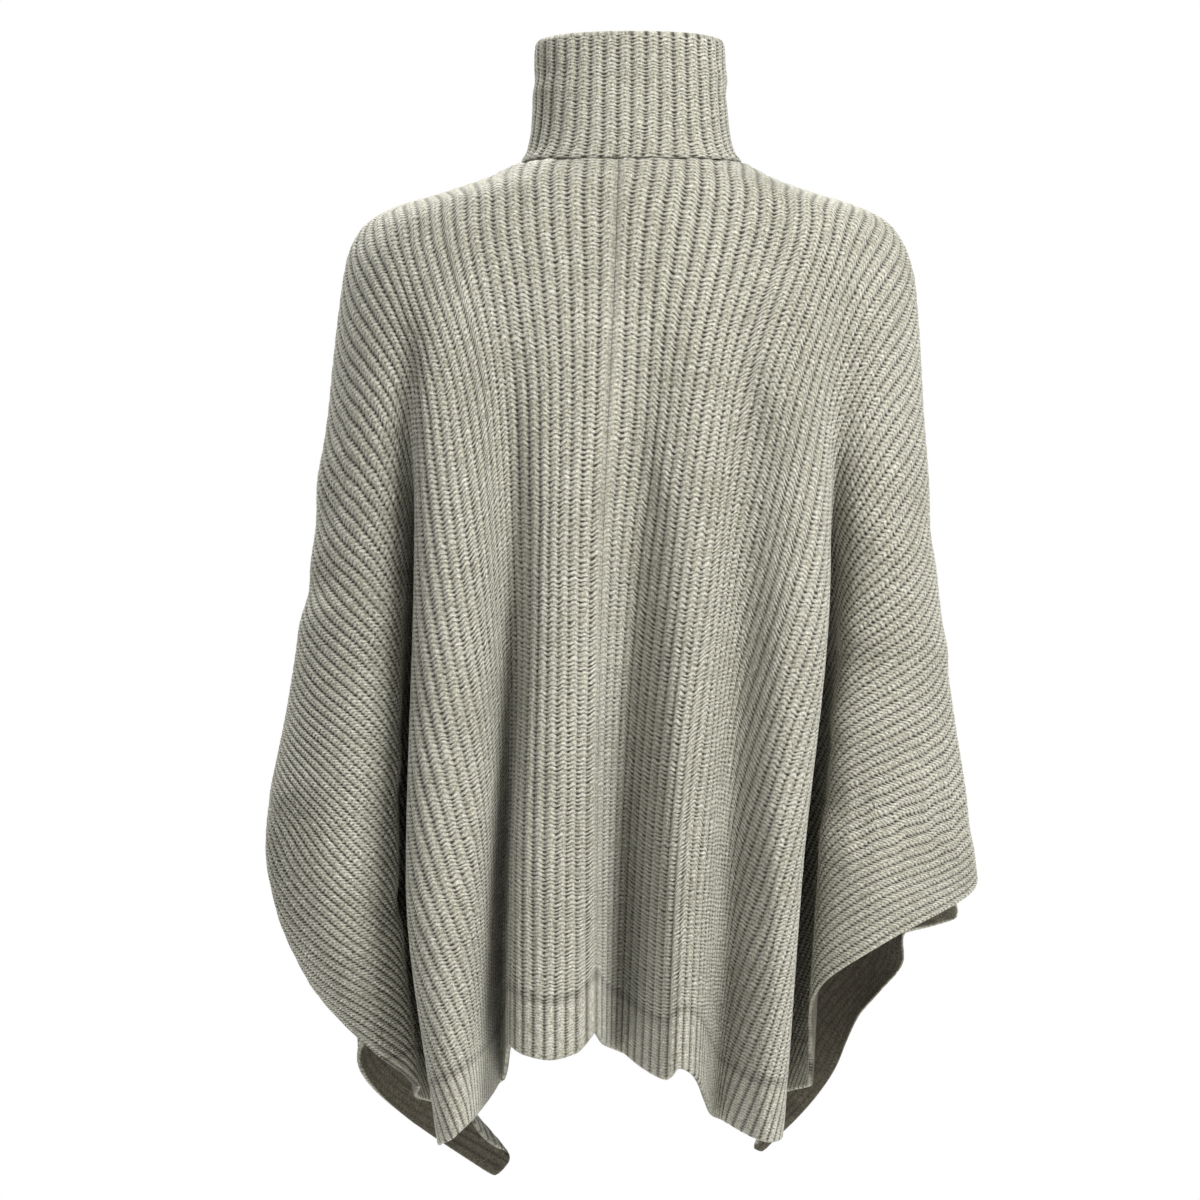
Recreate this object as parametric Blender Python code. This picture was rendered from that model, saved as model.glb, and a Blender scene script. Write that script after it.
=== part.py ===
"""Zip-up poncho sweater in chunky half-cardigan knit, filled out as it hangs on a wearer.

Metres, +Z up. The front faces -Y and the wearer's left is +X. The origin lies in the middle of
the neck, level with the collar seam. The knitted ribs run from the shoulder seam to the hem, so
every panel is worked out from a rib number and a height. The tables say where each fold lies, how
far it stands out and which rib it passes; smooth curves through them give the cloth.
"""
import math

import bmesh
import bpy
import numpy as np
from mathutils import Matrix, Vector

MM = 0.001

# Driving dimensions
RIBS_PER_HALF = 62            # ribs from the centre back, or the zip, to the side edge
WALL = 3.6                    # mm, thickness of the knit
COLLAR_WALL = 7.2             # mm, the collar is folded double
SEAM_GAP = 0.3                # mm, left between pieces that are sewn together
SEAM_RIBS = 0.022             # about the same gap, counted in ribs
NECK_DROP = (4.0, 34.0)       # mm, how far the neckline dips at the centre back and at the zip
ZIP_EDGE = 6.4                # mm, from the middle of the zip to each front edge
ROUNDING = 1.7                # ribs, how widely each fold is rounded
NECK_CURVE = 2.2              # how suddenly the neckline climbs towards the shoulder
DRAPE_ROUND = 2.4             # how square the level outline of the drape is: 2 would be an ellipse
SEAM_FORWARD = (8, 24)        # mm, shoulder seam in front of the arm: at the neck, and more below
NECK_STEPS, ARM_STEPS = 4, 26  # grid of a panel: across the ribs, at the neck and beyond it
ROWS = 15                     # grid of a panel: along the ribs

# Collar: it narrows from the neckline to an upright funnel
COLLAR_TOP = 94.0             # mm above the neckline
COLLAR_HALF = (76.5, 57.0)    # mm, half width and half depth at its top
COLLAR_ROUND = 2.3            # how square its outline is: 2 would be an ellipse
COLLAR_SHIFT = 2.0            # mm, how far the nape leans to the wearer's right at the top
NECK_HALF = (92.0, 62.0, 74.0)     # mm, neckline's half width, depth behind and depth in front
# share of the height, and how much of the neckline's wider outline is left there
COLLAR_FLARE = ((0.0, 1.0), (0.1, 0.49), (0.3, 0.22), (0.55, 0.1), (0.8, 0.03), (1.0, 0.0))

# Zip: its tapes lie between the front edges, level with the inside of the knit
TAPE_DEPTH = WALL + 0.9       # mm, from the face of the knit to the middle of the tape
TAPE_HALF = 0.5               # mm, half its thickness
TAPE_COLUMNS = (2.9, 4.0, 5.0, 6.0)   # mm, its grid within the collar, from the zip's middle
TAPE_SHARES = (0.3, 0.65)     # its outer columns below, in shares of the panel's first step
TAPE_WIDENS = 0.1             # where it widens, in shares of the first row below the neckline
CHAIN = (0.25, 2.6)           # mm, inner and outer edge of each row of teeth
CHAIN_HALF = 1.2              # mm, half the thickness of the teeth
STOP_ROOM = (0.8, 4.4)        # mm above the slider: the stops; the teeth end as far below its top
BOX_ENDS = (1.5, 11.6, 12.0)  # mm above the hem: box and pin from and to, and the lowest tooth

# Slider and pull tab, in millimetres; heights count down from the slider's top
SLIDER_HALF, SLIDER_LONG = 4.6, 14.0
SLIDER_TOP = 87.0             # height of the slider's upper end above the origin
PLATE = (1.6, 3.1)            # each plate, from the middle of the tape
BRIDGE_HALF = (2.3, 2.2)      # bridge between the plates: half its width and depth
BRIDGE_ENDS = (4.0, 0.2)
LUG_ACROSS, LUG_OUT, LUG_ENDS = (2.1, 3.2), (2.6, 6.6), (6.0, 2.0)
HINGE_OUT, HINGE_DOWN = 5.3, 4.0   # pull tab's pin from the middle of the tape and slider's top
PIN_RADIUS, PIN_HALF = 0.8, 2.6
EYE_RADIUS, EYE_OUTER, EYE_HALF = 1.05, 1.9, 1.7
TAB_LONG, TAB_HALF, TAB_THICK_HALF = 32.0, 3.4, 0.7
TAB_NECK_HALF = (1.5, 0.6)    # half the width and thickness of the neck under the eye
TAB_NECK_ENDS = (6.0, 0.6)    # and its ends below the pin
TAB_SHOULDER = 4.6            # where the broad blade starts below the pin

# Outline of shoulders and sleeves, all in millimetres: height, half the width across the arms on
# each side, the rib that crosses the shoulder seam there, and how many ribs behind the seam the
# outermost line lies.
ARM_LINE = np.array([
    # height  left  right  left rib  right rib  left turn  right turn
    (0,       93,   97,    7.4,      9.0,       0.45,      0.50),
    (-14,     121,  122,   9.3,      11.4,      0.60,      0.70),
    (-25,     153,  152,   12.2,     14.1,      0.80,      0.90),
    (-36,     189,  187,   16.0,     17.4,      1.00,      1.10),
    (-45,     207,  206,   17.9,     19.3,      1.10,      1.20),
    (-55,     218,  217,   19.3,     20.6,      1.20,      1.30),
    (-75,     228,  228,   21.0,     22.6,      1.30,      1.40),
    (-100,    233,  234,   22.9,     24.8,      1.50,      1.60),
    (-200,    246,  242,   28.5,     31.4,      2.00,      2.20),
    (-310,    258,  250,   36.0,     39.8,      2.40,      2.50),
    (-430,    277,  264,   46.5,     49.7,      2.50,      2.50),
    (-555,    297,  283,   59.0,     61.4,      2.40,      2.50),
    (-600,    292,  287,   60.2,     67.6,      1.80,      2.50),
    (-660,    271,  282,   62.0,     74.5,      1.20,      2.50),
    (-715,    236,  260,   65.4,     80.0,      0.80,      2.50),
    (-770,    226,  242,   71.2,     85.0,      0.80,      2.50),
    (-840,    218,  232,   77.0,     92.0,      0.80,      2.50),
])

# The plain drape below the folds: height, depth behind and in front of the middle, half width.
DRAPE = np.array([
    # height  back  front  left  right
    (0,       62,   58,    93,   97),
    (-30,     76,   74,    170,  168),
    (-90,     90,   99,    232,  232),
    (-200,    105,  121,   246,  242),
    (-310,    107,  128,   258,  250),
    (-430,    103,  128,   278,  264),
    (-555,    100,  126,   297,  283),
    (-840,    98,   124,   300,  290),
])

# Folds, from the middle outwards: how far out each lies at the heights above the table, how far
# it stands out (or in, if negative) at all but the first, and the rib that it passes at each.
BACK_HEIGHTS = (-90, -200, -330, -570, -770)
BACK_LEFT = [
    ("middle ridge", (54, 55, 55, 58, 62), (6, 17, 36, 40), (3.7, 4.2, 4.0, 4.2, 4.6)),
    ("ridge edge", (85, 80, 77, 89, 94), (3, 8, 18, 24), (6.4, 7.2, 6.9, 7.9, 9.0)),
    ("inner valley", (92, 90, 88, 98, 103), (-9, -26, -50, -60), (7.1, 8.1, 8.6, 12.0, 15.0)),
    ("tail flank", (117, 110, 107, 113, 118), (2, 6, 6, 2), (9.5, 11.0, 11.8, 15.6, 18.6)),
    ("tail ridge", (148, 143, 142, 145, 132), (10, 22, 34, 38), (12.8, 15.4, 16.2, 19.2, 21.4)),
    ("tail edge", (176, 166, 168, 174, 150), (4, 2, 12, 18), (15.7, 18.4, 19.2, 22.4, 24.2)),
    ("deep valley", (183, 172, 171, 176, 156), (-24, -84, -140, -140), (16.5, 20.4, 25.4, 38.0, 47.0)),
    ("sleeve under", (187, 176, 177, 191, 170), (-19, -58, -90, -100), (16.8, 21.1, 27.2, 43.0, 57.0)),
    ("sleeve rim", (190, 181, 180, 182, 163), (-12, -28, -40, -60), (17.1, 21.7, 29.0, 48.2, 65.0)),
    ("sleeve back", (198, 207, 208, 222, 200), (-3, -4, 0, -16), (18.0, 23.8, 31.4, 51.4, 66.3)),
]
BACK_RIGHT = [
    ("inner valley", (6, 5, 2, -3, -6), (-8, -25, -56, -70), (1.7, 1.9, 3.2, 4.6, 5.4)),
    ("middle ridge", (48, 46, 42, 36, 34), (6, 14, 26, 32), (5.0, 6.8, 8.3, 11.2, 12.2)),
    ("ridge edge", (65, 63, 62, 55, 50), (4, 8, 14, 14), (6.4, 8.5, 10.7, 14.2, 15.2)),
    ("soft valley", (88, 88, 86, 82, 72), (-6, -14, -26, -38), (8.5, 11.4, 13.8, 19.4, 21.6)),
    ("tail ridge", (134, 132, 128, 114, 104), (10, 20, 32, 36), (12.8, 16.8, 19.3, 24.0, 26.6)),
    ("tail edge", (158, 155, 157, 134, 119), (3, 2, 14, 20), (15.4, 19.6, 22.6, 26.8, 29.7)),
    ("deep valley", (168, 164, 162, 141, 128), (-22, -80, -142, -142), (16.4, 21.8, 28.6, 42.4, 52.6)),
    ("sleeve under", (173, 170, 171, 157, 146), (-19, -58, -94, -104), (17.0, 22.6, 30.8, 47.4, 61.4)),
    ("sleeve rim", (178, 178, 175, 152, 141), (-13, -34, -52, -70), (17.5, 23.4, 32.6, 53.4, 71.0)),
    ("sleeve back", (194, 205, 206, 204, 200), (-3, -5, -10, -20), (19.0, 26.2, 34.2, 57.2, 75.0)),
]
FRONT_HEIGHTS = (-90, -200, -330, -600, -735, -830)
FRONT_LEFT = [
    ("zip ridge", (42, 44, 46, 44, 41, 38), (3, 12, 26, 27, 28), (4.0, 4.3, 4.6, 6.0, 6.6, 7.0)),
    ("inner valley", (70, 72, 72, 67, 62, 57), (-2, -14, -28, -29, -30), (6.6, 7.6, 9.2, 14.4, 16.4, 17.6)),
    ("front ridge", (102, 104, 102, 97, 90, 82), (5, 17, 23, 22, 22), (9.6, 11.4, 14.0, 23.0, 26.4, 28.0)),
    ("deep valley", (150, 140, 130, 125, 132, 128), (-4, -28, -50, -54, -44), (14.4, 16.6, 20.4, 34.0, 42.0, 50.0)),
    ("sleeve rim", (172, 162, 154, 150, 154, 90), (-2, -8, -12, -16, -12), (16.6, 19.0, 23.4, 40.0, 49.0, 59.0)),
    ("sleeve front", (196, 204, 210, 217, 227, 143), (0, 0, 0, -4, -8), (18.6, 22.6, 29.0, 47.2, 62.0, 63.6)),
]
FRONT_RIGHT = [
    ("zip ridge", (42, 46, 50, 46, 43, 40), (3, 14, 27, 28, 29), (4.6, 4.8, 5.3, 6.6, 7.2, 7.6)),
    ("inner valley", (70, 74, 73, 67, 62, 58), (-2, -12, -27, -28, -28), (7.4, 8.4, 10.4, 15.2, 17.0, 18.0)),
    ("front ridge", (102, 106, 102, 94, 89, 84), (5, 15, 20, 20, 20), (10.6, 12.6, 15.5, 24.0, 27.4, 29.4)),
    ("deep valley", (150, 142, 129, 119, 112, 106), (-4, -26, -46, -46, -46), (15.8, 18.2, 22.0, 35.6, 47.0, 53.0)),
    ("sleeve rim", (172, 162, 153, 146, 140, 92), (-2, -8, -10, -14, -14), (18.2, 20.8, 25.2, 41.8, 54.0, 60.5)),
    ("sleeve front", (194, 202, 206, 208, 177, 116), (0, 0, 0, -10, -10), (20.4, 24.8, 32.1, 50.6, 62.0, 66.0)),
]

# The lower edge: rib number and height of the hem, in millimetres.
HEM = {
    "back_left": ((0, -688), (2, -703), (4.5, -706), (7, -703), (9, -699), (10.8, -706), (12.2, -722),
                  (14.5, -738), (17, -749), (20.5, -762), (23.5, -773), (27, -779), (40, -776),
                  (53, -762), (62, -744)),
    "back_right": ((0, -688), (2, -703), (4.5, -712), (8, -722), (10.5, -724), (12.8, -714),
                   (15, -721), (16.5, -731), (18, -744), (20.5, -761), (25, -769), (29, -771),
                   (42, -770), (52, -760), (62, -745)),
    "front_left": ((0, -704), (6, -708), (14, -708), (24, -710), (32, -714), (38, -724), (43, -745),
                   (47, -768), (50, -787), (53, -805), (55.5, -814), (58, -820), (60, -828),
                   (62, -838)),
    "front_right": ((0, -704), (6, -710), (15, -710), (24, -714), (34, -724), (42, -744),
                    (49, -776), (55, -800), (59, -812), (62, -817)),
}
# The front's side edge swings out at the right cuff: height, and how far out
CUFF_FLARE = ((-582, 0), (-597, 26), (-607, 43), (-616, 45), (-624, 30), (-632, 7),
              (-657, 14), (-682, 6), (-705, 0), (-755, 4), (-800, 7), (-840, 7))
FLARE_RIBS = (48, 62)         # it fades out between these ribs
FLARE_BACK = 0.2              # share of it that also swings backward
CENTRE_BACK = ((0, 8), (-90, 11), (-330, 21), (-570, 25), (-840, 25))   # the seam leans to +X


def smooth(at, knots, values):
    """Values at the places given, on a smooth curve through the knots; a row each if they differ."""
    at = np.atleast_1d(np.asarray(at, float))
    shape = (len(at), np.atleast_2d(knots).shape[1])
    knots = np.broadcast_to(np.atleast_2d(knots), shape).astype(float)
    values = np.broadcast_to(np.atleast_2d(values), shape).astype(float)
    gap = np.diff(knots, axis=1)
    slope = np.diff(values, axis=1) / gap
    before, after = slope[:, :-1], slope[:, 1:]
    weigh_before = gap[:, :-1] + 2 * gap[:, 1:]
    weigh_after = 2 * gap[:, :-1] + gap[:, 1:]
    level = before * after <= 0
    safe_before, safe_after = np.where(level, 1.0, before), np.where(level, 1.0, after)
    inner = (weigh_before + weigh_after) / (weigh_before / safe_after + weigh_after / safe_before)
    inner = np.where(level, 0.0, inner)
    tangent = np.concatenate([slope[:, :1], inner, slope[:, -1:]], axis=1)
    index = np.clip((knots <= at[:, None]).sum(axis=1) - 1, 0, shape[1] - 2)[:, None]

    def pick(table, step=0):
        return np.take_along_axis(table, index + step, axis=1)[:, 0]

    width = pick(gap)
    along = (at - pick(knots)) / width
    t = np.clip(along, 0.0, 1.0)
    beyond = (along - t) * width * np.where(along < 0.5, pick(tangent), pick(tangent, 1))
    start, end = pick(values), pick(values, 1)
    curve = start * (1 + 2 * t) * (1 - t) ** 2 + end * t * t * (3 - 2 * t)
    curve += width * pick(tangent) * t * (1 - t) ** 2
    curve -= width * pick(tangent, 1) * t * t * (1 - t)
    return curve + beyond


def at_height(z, heights, values):
    """One column of a table that is written from the top down, read at height z."""
    return smooth(-np.asarray(z, float), -np.asarray(heights, float), values)


def arm_line(z, side, column):
    """Column 1 is the half width, 3 the rib at the seam, 5 the ribs behind it (left side)."""
    return at_height(z, ARM_LINE[:, 0], ARM_LINE[:, column + (side < 0)])


def drape_depth(out, z, side, face):
    """Depth of the plain drape, before the folds, at a distance out from the middle."""
    depth = at_height(z, DRAPE[:, 0], DRAPE[:, 1 if face > 0 else 2])
    half = at_height(np.minimum(z, -90), DRAPE[:, 0], DRAPE[:, 3 if side > 0 else 4])
    half = half + np.where(z > -90, arm_line(z, side, 1) - arm_line(-90, side, 1), 0.0)
    return depth * np.sqrt(np.clip(1 - np.abs(out / half) ** DRAPE_ROUND, 0.0, 1.0))


def fold_knots(z, side, face):
    """Rib, distance out and depth of each fold of one panel at the heights z."""
    left, right = (BACK_LEFT, BACK_RIGHT) if face > 0 else (FRONT_LEFT, FRONT_RIGHT)
    heights = BACK_HEIGHTS if face > 0 else FRONT_HEIGHTS
    top = heights[0]
    high = z > top
    rib_scale = np.where(high, arm_line(z, side, 3) / arm_line(top, side, 3), 1.0)
    out_scale = np.where(high, arm_line(z, side, 1) / arm_line(top, side, 1), 1.0)
    low = np.minimum(z, top)
    knots = []
    for _, outs, reliefs, ribs in (left if side > 0 else right):
        rib = at_height(low, heights, ribs) * rib_scale
        out = at_height(low, heights, outs) * out_scale
        depth = drape_depth(out, z, side, face) + at_height(low, heights, (0,) + reliefs)
        knots.append((rib, out, depth))
    return knots


def cuff_flare(place, z, side):
    """How far out the front's side edge swings at the right cuff, in mm."""
    last = arm_line(z, side, 3)
    heights, swings = zip(*CUFF_FLARE)
    near_edge = np.clip((2 * last - place - FLARE_RIBS[0]) / np.ptp(FLARE_RIBS), 0.0, 1.0) ** 2
    there = (side < 0) & (z < heights[0]) & (place > last)
    return np.where(there, at_height(z, heights, swings) * near_edge, 0.0)


def section(z, side):
    """Knots of half a level section: from the centre back, over the arm, to the zip."""
    z = np.atleast_1d(np.asarray(z, float))
    last, reach, turn = (arm_line(z, side, column) for column in (3, 1, 5))
    ease = np.clip((-z - 30) / 170, 0.0, 1.0)
    centre = at_height(z, [row[0] for row in CENTRE_BACK], [row[1] for row in CENTRE_BACK]) * side
    relief = at_height(np.minimum(z, -90), BACK_HEIGHTS, (0, 0, 2, 5, 8))
    knots = [(0 * z, centre, drape_depth(centre, z, side, 1) + relief)]
    knots += fold_knots(z, side, 1)
    # round the arm: behind it, outermost, the seam just in front of that, and further forward
    forward = SEAM_FORWARD[0] + SEAM_FORWARD[1] * ease
    depth = at_height(z, DRAPE[:, 0], DRAPE[:, 1])
    round_off = reach * (1 - (1 - (forward / depth) ** 2) ** (1 / DRAPE_ROUND)) * (1 + 0.6 * ease)
    knots += [
        (last - 2 * turn, reach - round_off, forward),
        (last - turn, reach, 0 * z),
        (last, reach - 0.8 * round_off, -forward),
        (last + 1.3 * turn, reach - 2.4 * round_off, -1.75 * forward),
    ]
    knots += [(2 * last - rib, out, -depth) for rib, out, depth in reversed(fold_knots(z, side, -1))]
    zip_out = ZIP_EDGE + 0 * z
    knots += [(2 * last, zip_out, -drape_depth(zip_out, z, side, -1))]
    return [np.stack([knot[i] for knot in knots], axis=1) for i in range(3)]


def cloth(place, z, side):
    """Point of the outer face in metres; place counts ribs from the centre back to the zip.

    Each point is a weighted mean over ROUNDING ribs to either side, so that thick cloth turns
    its folds roundly.
    """
    place, z = np.broadcast_arrays(np.asarray(place, float), np.asarray(z, float))
    shape, place, z = place.shape, place.ravel(), z.ravel()
    knots, out, depth = section(z, side)
    to_edge = np.minimum(place, 2 * arm_line(z, side, 3) - place)
    reach = ROUNDING * np.clip(to_edge / ROUNDING, 0.0, 1.0)
    x, y = 0 * z, 0 * z
    for weight, step in ((1, -1.0), (2, -0.5), (3, 0.0), (2, 0.5), (1, 1.0)):
        near = place + step * reach
        x = x + weight / 9 * smooth(near, knots, out)
        y = y + weight / 9 * smooth(near, knots, depth)
    flare = cuff_flare(place, z, side)
    x, y = x + flare, y + FLARE_BACK * flare
    return np.stack([x * side, y, z], axis=1).reshape(shape + (3,)) * MM


def place_of(rib, z, side, face):
    """The same place counted from the centre back, for a rib counted within its own panel."""
    rib, z = np.broadcast_arrays(rib, z)
    if face > 0:
        return rib
    return 2 * arm_line(z.ravel(), side, 3).reshape(z.shape) - rib


def top_of(rib, side, face):
    """Height at which a rib starts: at the collar, or at the shoulder seam."""
    heights = np.linspace(0, -840, 1681)
    neck = arm_line(0, side, 3)
    on_seam = np.interp(rib + SEAM_RIBS, arm_line(heights, side, 3), heights)
    drop = NECK_DROP[0 if face > 0 else 1]
    on_neck = -drop * (1 - np.clip(rib / neck, 0, 1) ** NECK_CURVE)
    return np.where(rib < neck, on_neck, on_seam)


def outward(place, z, side):
    """Unit normals of the outer face, the same from both sides of a seam and of the zip."""
    place, z = np.broadcast_arrays(np.asarray(place, float), np.asarray(z, float))
    across = cloth(place + 0.05, z, side) - cloth(place - 0.05, z, side)
    down = cloth(place, z - 0.4, side) - cloth(place, z + 0.4, side)
    normal = np.cross(across, down) * side
    to_zip = 2 * arm_line(z.ravel(), side, 3).reshape(z.shape) - place
    normal[..., 0] = np.where((place < 0.1) | (to_zip < 0.1), 0.0, normal[..., 0])
    return normal / np.linalg.norm(normal, axis=-1, keepdims=True)


def rib_columns(side):
    """Ribs along which a panel's grid runs; one of them meets the side of the neck."""
    neck = arm_line(0, side, 3)[0]
    near = np.linspace(0, neck, NECK_STEPS + 1)
    return np.concatenate([near, np.linspace(neck, RIBS_PER_HALF, ARM_STEPS + 1)[1:]])


def along_ribs(ribs, rows, side, face, hem):
    """Heights of the rows that divide each rib into even lengths, from its top to the hem."""
    top = top_of(ribs, side, face)[:, None]
    low = smooth(ribs, [row[0] for row in hem], [row[1] for row in hem])[:, None]
    z = top + (low - top) * np.linspace(0, 1, 121) ** 1.5
    points = cloth(place_of(ribs[:, None], z, side, face), z, side)
    steps = np.linalg.norm(np.diff(points, axis=1), axis=2)
    length = np.concatenate([np.zeros((len(ribs), 1)), np.cumsum(steps, axis=1)], axis=1)
    shares = np.linspace(0, 1, rows)
    return np.array([np.interp(shares * length[i, -1], length[i], z[i]) for i in range(len(ribs))])


def collection(name):
    made = bpy.data.collections.new(name)
    bpy.context.scene.collection.children.link(made)
    return made


def material(name, colour, roughness, metallic=0.0):
    made = bpy.data.materials.new(name)
    made.use_nodes = True
    shader = made.node_tree.nodes["Principled BSDF"]
    shader.inputs["Base Color"].default_value = (*colour, 1.0)
    shader.inputs["Roughness"].default_value = roughness
    shader.inputs["Metallic"].default_value = metallic
    made.diffuse_color = (*colour, 1.0)
    return made


def add_object(name, work, group, slot, smooth_shade=False):
    """Object from a bmesh, whose faces are turned outward and checked to be closed."""
    bmesh.ops.triangulate(work, faces=work.faces[:])
    bmesh.ops.recalc_face_normals(work, faces=work.faces[:])
    if any(not edge.is_manifold for edge in work.edges):
        raise RuntimeError(name + " is not closed")
    mesh = bpy.data.meshes.new(name)
    work.to_mesh(mesh)
    work.free()
    mesh.materials.append(slot)
    mesh.polygons.foreach_set("use_smooth", [smooth_shade] * len(mesh.polygons))
    made = bpy.data.objects.new(name, mesh)
    group.objects.link(made)
    return made


def add_sheet(name, outer, inner, group, slot, smooth_shade=True):
    """Wall lofted between two equal grids of points.

    Solidify would lean each rim its own way. Here the rims at a seam share one direction, and
    they are split along matching diagonals, so that two rims 0.3 mm apart never cross.
    """
    columns, rows = outer.shape[:2]
    work = bmesh.new()
    corner = [[[work.verts.new(point) for point in column] for column in grid.tolist()]
              for grid in (outer, inner)]

    def halves(first, second, third, fourth):
        work.faces.new((first, second, third))
        work.faces.new((first, third, fourth))

    def rim(a, b):
        halves(*(corner[layer][i][j] for layer, (i, j) in ((0, a), (0, b), (1, b), (1, a))))

    for i in range(columns - 1):
        for j in range(rows - 1):
            for grid in corner:
                halves(grid[i][j], grid[i][j + 1], grid[i + 1][j + 1], grid[i + 1][j])
        rim((i, 0), (i + 1, 0))
        rim((i, rows - 1), (i + 1, rows - 1))
    for j in range(rows - 1):
        rim((0, j), (0, j + 1))
        rim((columns - 1, j), (columns - 1, j + 1))
    return add_object(name, work, group, slot, smooth_shade)


def panel_grid(name, side, face):
    """Outer points and outward normals of a panel: one column a rib, from its top to the hem."""
    ribs = rib_columns(side)
    if face > 0:
        ribs[0] = SEAM_RIBS
    z = along_ribs(ribs, ROWS, side, face, HEM[name])
    place = place_of(ribs[:, None], z, side, face)
    return cloth(place, z, side), outward(place, z, side)


def collar_grid(panels):
    """Outer points of the collar, from the left front edge round the back to the right one."""
    rings = [panels[name][0][:NECK_STEPS + 1, 0] / MM for name in
             ("front_left", "back_left", "back_right", "front_right")]
    rings[1][0, 0] = rings[2][0, 0] = 0.5 * (rings[1][0, 0] + rings[2][0, 0])
    ring = np.concatenate([rings[0], rings[1][-2::-1], rings[2][1:], rings[3][-2::-1]])
    base = np.repeat(ring, 2, axis=0)[:-1]
    base[1::2] = 0.5 * (ring[:-1] + ring[1:])
    half_width, half_back, half_front = NECK_HALF
    half_depth = np.where(base[:, 1] > 0, half_back, half_front)
    angle = np.arctan2(base[:, 0] / half_width, base[:, 1] / half_depth)
    round_x, round_y = (np.sign(part) * np.abs(part) ** (2 / COLLAR_ROUND)
                        for part in (np.sin(angle), np.cos(angle)))
    shift = COLLAR_SHIFT * np.cos(angle / 2)
    top = np.stack([COLLAR_HALF[0] * round_x - shift, COLLAR_HALF[1] * round_y,
                    0 * angle + COLLAR_TOP], axis=1)
    top[0, 0], top[-1, 0] = ZIP_EDGE, -ZIP_EDGE
    rows = []
    for share, flare in reversed(COLLAR_FLARE):
        row = top + flare * (base - top)
        row[:, 2] = base[:, 2] + SEAM_GAP + share * (COLLAR_TOP - base[:, 2] - SEAM_GAP)
        row[0, 0], row[-1, 0] = ZIP_EDGE, -ZIP_EDGE
        rows.append(row)
    return np.stack(rows, axis=1) * MM


def grid_normals(grid):
    """Normals of a grid of points, level at its upper edge and plain across its two ends."""
    across = np.gradient(grid, axis=0)
    down = np.gradient(grid, axis=1)
    down[:, 0] = (0, 0, -1)
    normal = np.cross(across, down)
    normal[[0, -1], :, 0] = 0
    normal /= np.linalg.norm(normal, axis=-1, keepdims=True)
    return normal * np.sign((normal * grid)[..., :2].sum(axis=-1))[..., None]


def zip_rows(panels, collar, collar_normal):
    """Middle line of the front, from the collar's top to the hem: points and normals in a row."""
    points = np.concatenate([collar[0], panels["front_left"][0][0]])
    normals = np.concatenate([collar_normal[0], panels["front_left"][1][0]])
    points[:, 0] = 0
    normals[:, 0] = 0
    return points, normals / np.linalg.norm(normals, axis=1, keepdims=True)


def part_of_line(line, high, low):
    """The rows of the line between two heights in millimetres, with both ends put in."""
    points, normals = line
    z = points[:, 2] / MM
    heights = np.concatenate([[high], z[(z < high - 1) & (z > low + 1)], [low]])
    return [np.stack([np.interp(-heights, -z, table[:, i]) for i in range(3)], axis=1)
            for table in (points, normals)]


def strip(name, side, line, high, low, group, slot):
    """Half of the zip's chain between two heights."""
    points, normals = part_of_line(line, high, low)
    across = np.array([(side * edge * MM, 0, 0) for edge in CHAIN])
    outer, inner = (points[None] + across[:, None] - depth * MM * normals[None]
                    for depth in (TAPE_DEPTH - CHAIN_HALF, TAPE_DEPTH + CHAIN_HALF))
    add_sheet(name, outer, inner, group, slot, smooth_shade=False)


def with_widening_row(table):
    """The same rows of points, and one more just below the first, where a tape widens."""
    first, second = table[..., :1, :], table[..., 1:2, :]
    return np.concatenate([first, first + TAPE_WIDENS * (second - first), table[..., 1:, :]], axis=-2)


def tape(name, side, line, front, group, slot):
    """Zip tape: narrow between the edges of the collar, wider behind the edge of the panel."""
    collar_rows = len(COLLAR_FLARE)
    middle, facing = (np.concatenate([table[:collar_rows], with_widening_row(table[collar_rows:])])
                      for table in line)
    edge, edge_facing = (with_widening_row(table[:2]) for table in front)
    below = slice(collar_rows + 1, None)
    grids = []
    for depth in (TAPE_DEPTH - TAPE_HALF, TAPE_DEPTH + TAPE_HALF):
        flat = middle - depth * MM * facing
        columns = [flat + np.array([side * out * MM, 0, 0]) for out in TAPE_COLUMNS]
        wide = (edge - depth * MM * edge_facing)[:, 1:]
        columns[1][below] = wide[0]
        columns[1][below, 0] = side * TAPE_COLUMNS[3] * MM
        for column, share in zip(columns[2:], TAPE_SHARES):
            column[below] = (1 - share) * wide[0] + share * wide[1]
        grids.append(np.stack(columns))
    add_sheet(name, *grids, group, slot)


def block(name, low, high, group, slot):
    """Box between two opposite corners, in millimetres."""
    place = Matrix.LocRotScale(Vector(np.add(low, high) / 2 * MM), None,
                               Vector(np.subtract(high, low) * MM))
    work = bmesh.new()
    bmesh.ops.create_cube(work, size=1.0, matrix=place)
    return add_object(name, work, group, slot)


def rod(name, centre, radius, half, group, slot, sides=24):
    """Round bar along X; the sizes are in millimetres."""
    place = Matrix.Translation(Vector(centre) * MM) @ Matrix.Rotation(math.pi / 2, 4, "Y")
    work = bmesh.new()
    bmesh.ops.create_cone(work, cap_ends=True, segments=sides, radius1=radius * MM,
                          radius2=radius * MM, depth=2 * half * MM, matrix=place)
    return add_object(name, work, group, slot)


def combine(first, others, operation, cutters):
    """Join the others to the first, or cut them from it."""
    for other in others:
        step = first.modifiers.new(other.name, "BOOLEAN")
        step.operation = operation
        step.solver = "EXACT"
        step.object = other
        for group in list(other.users_collection):
            group.objects.unlink(other)
        cutters.objects.link(other)
        other.hide_render = True
        other.display_type = "WIRE"


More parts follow.
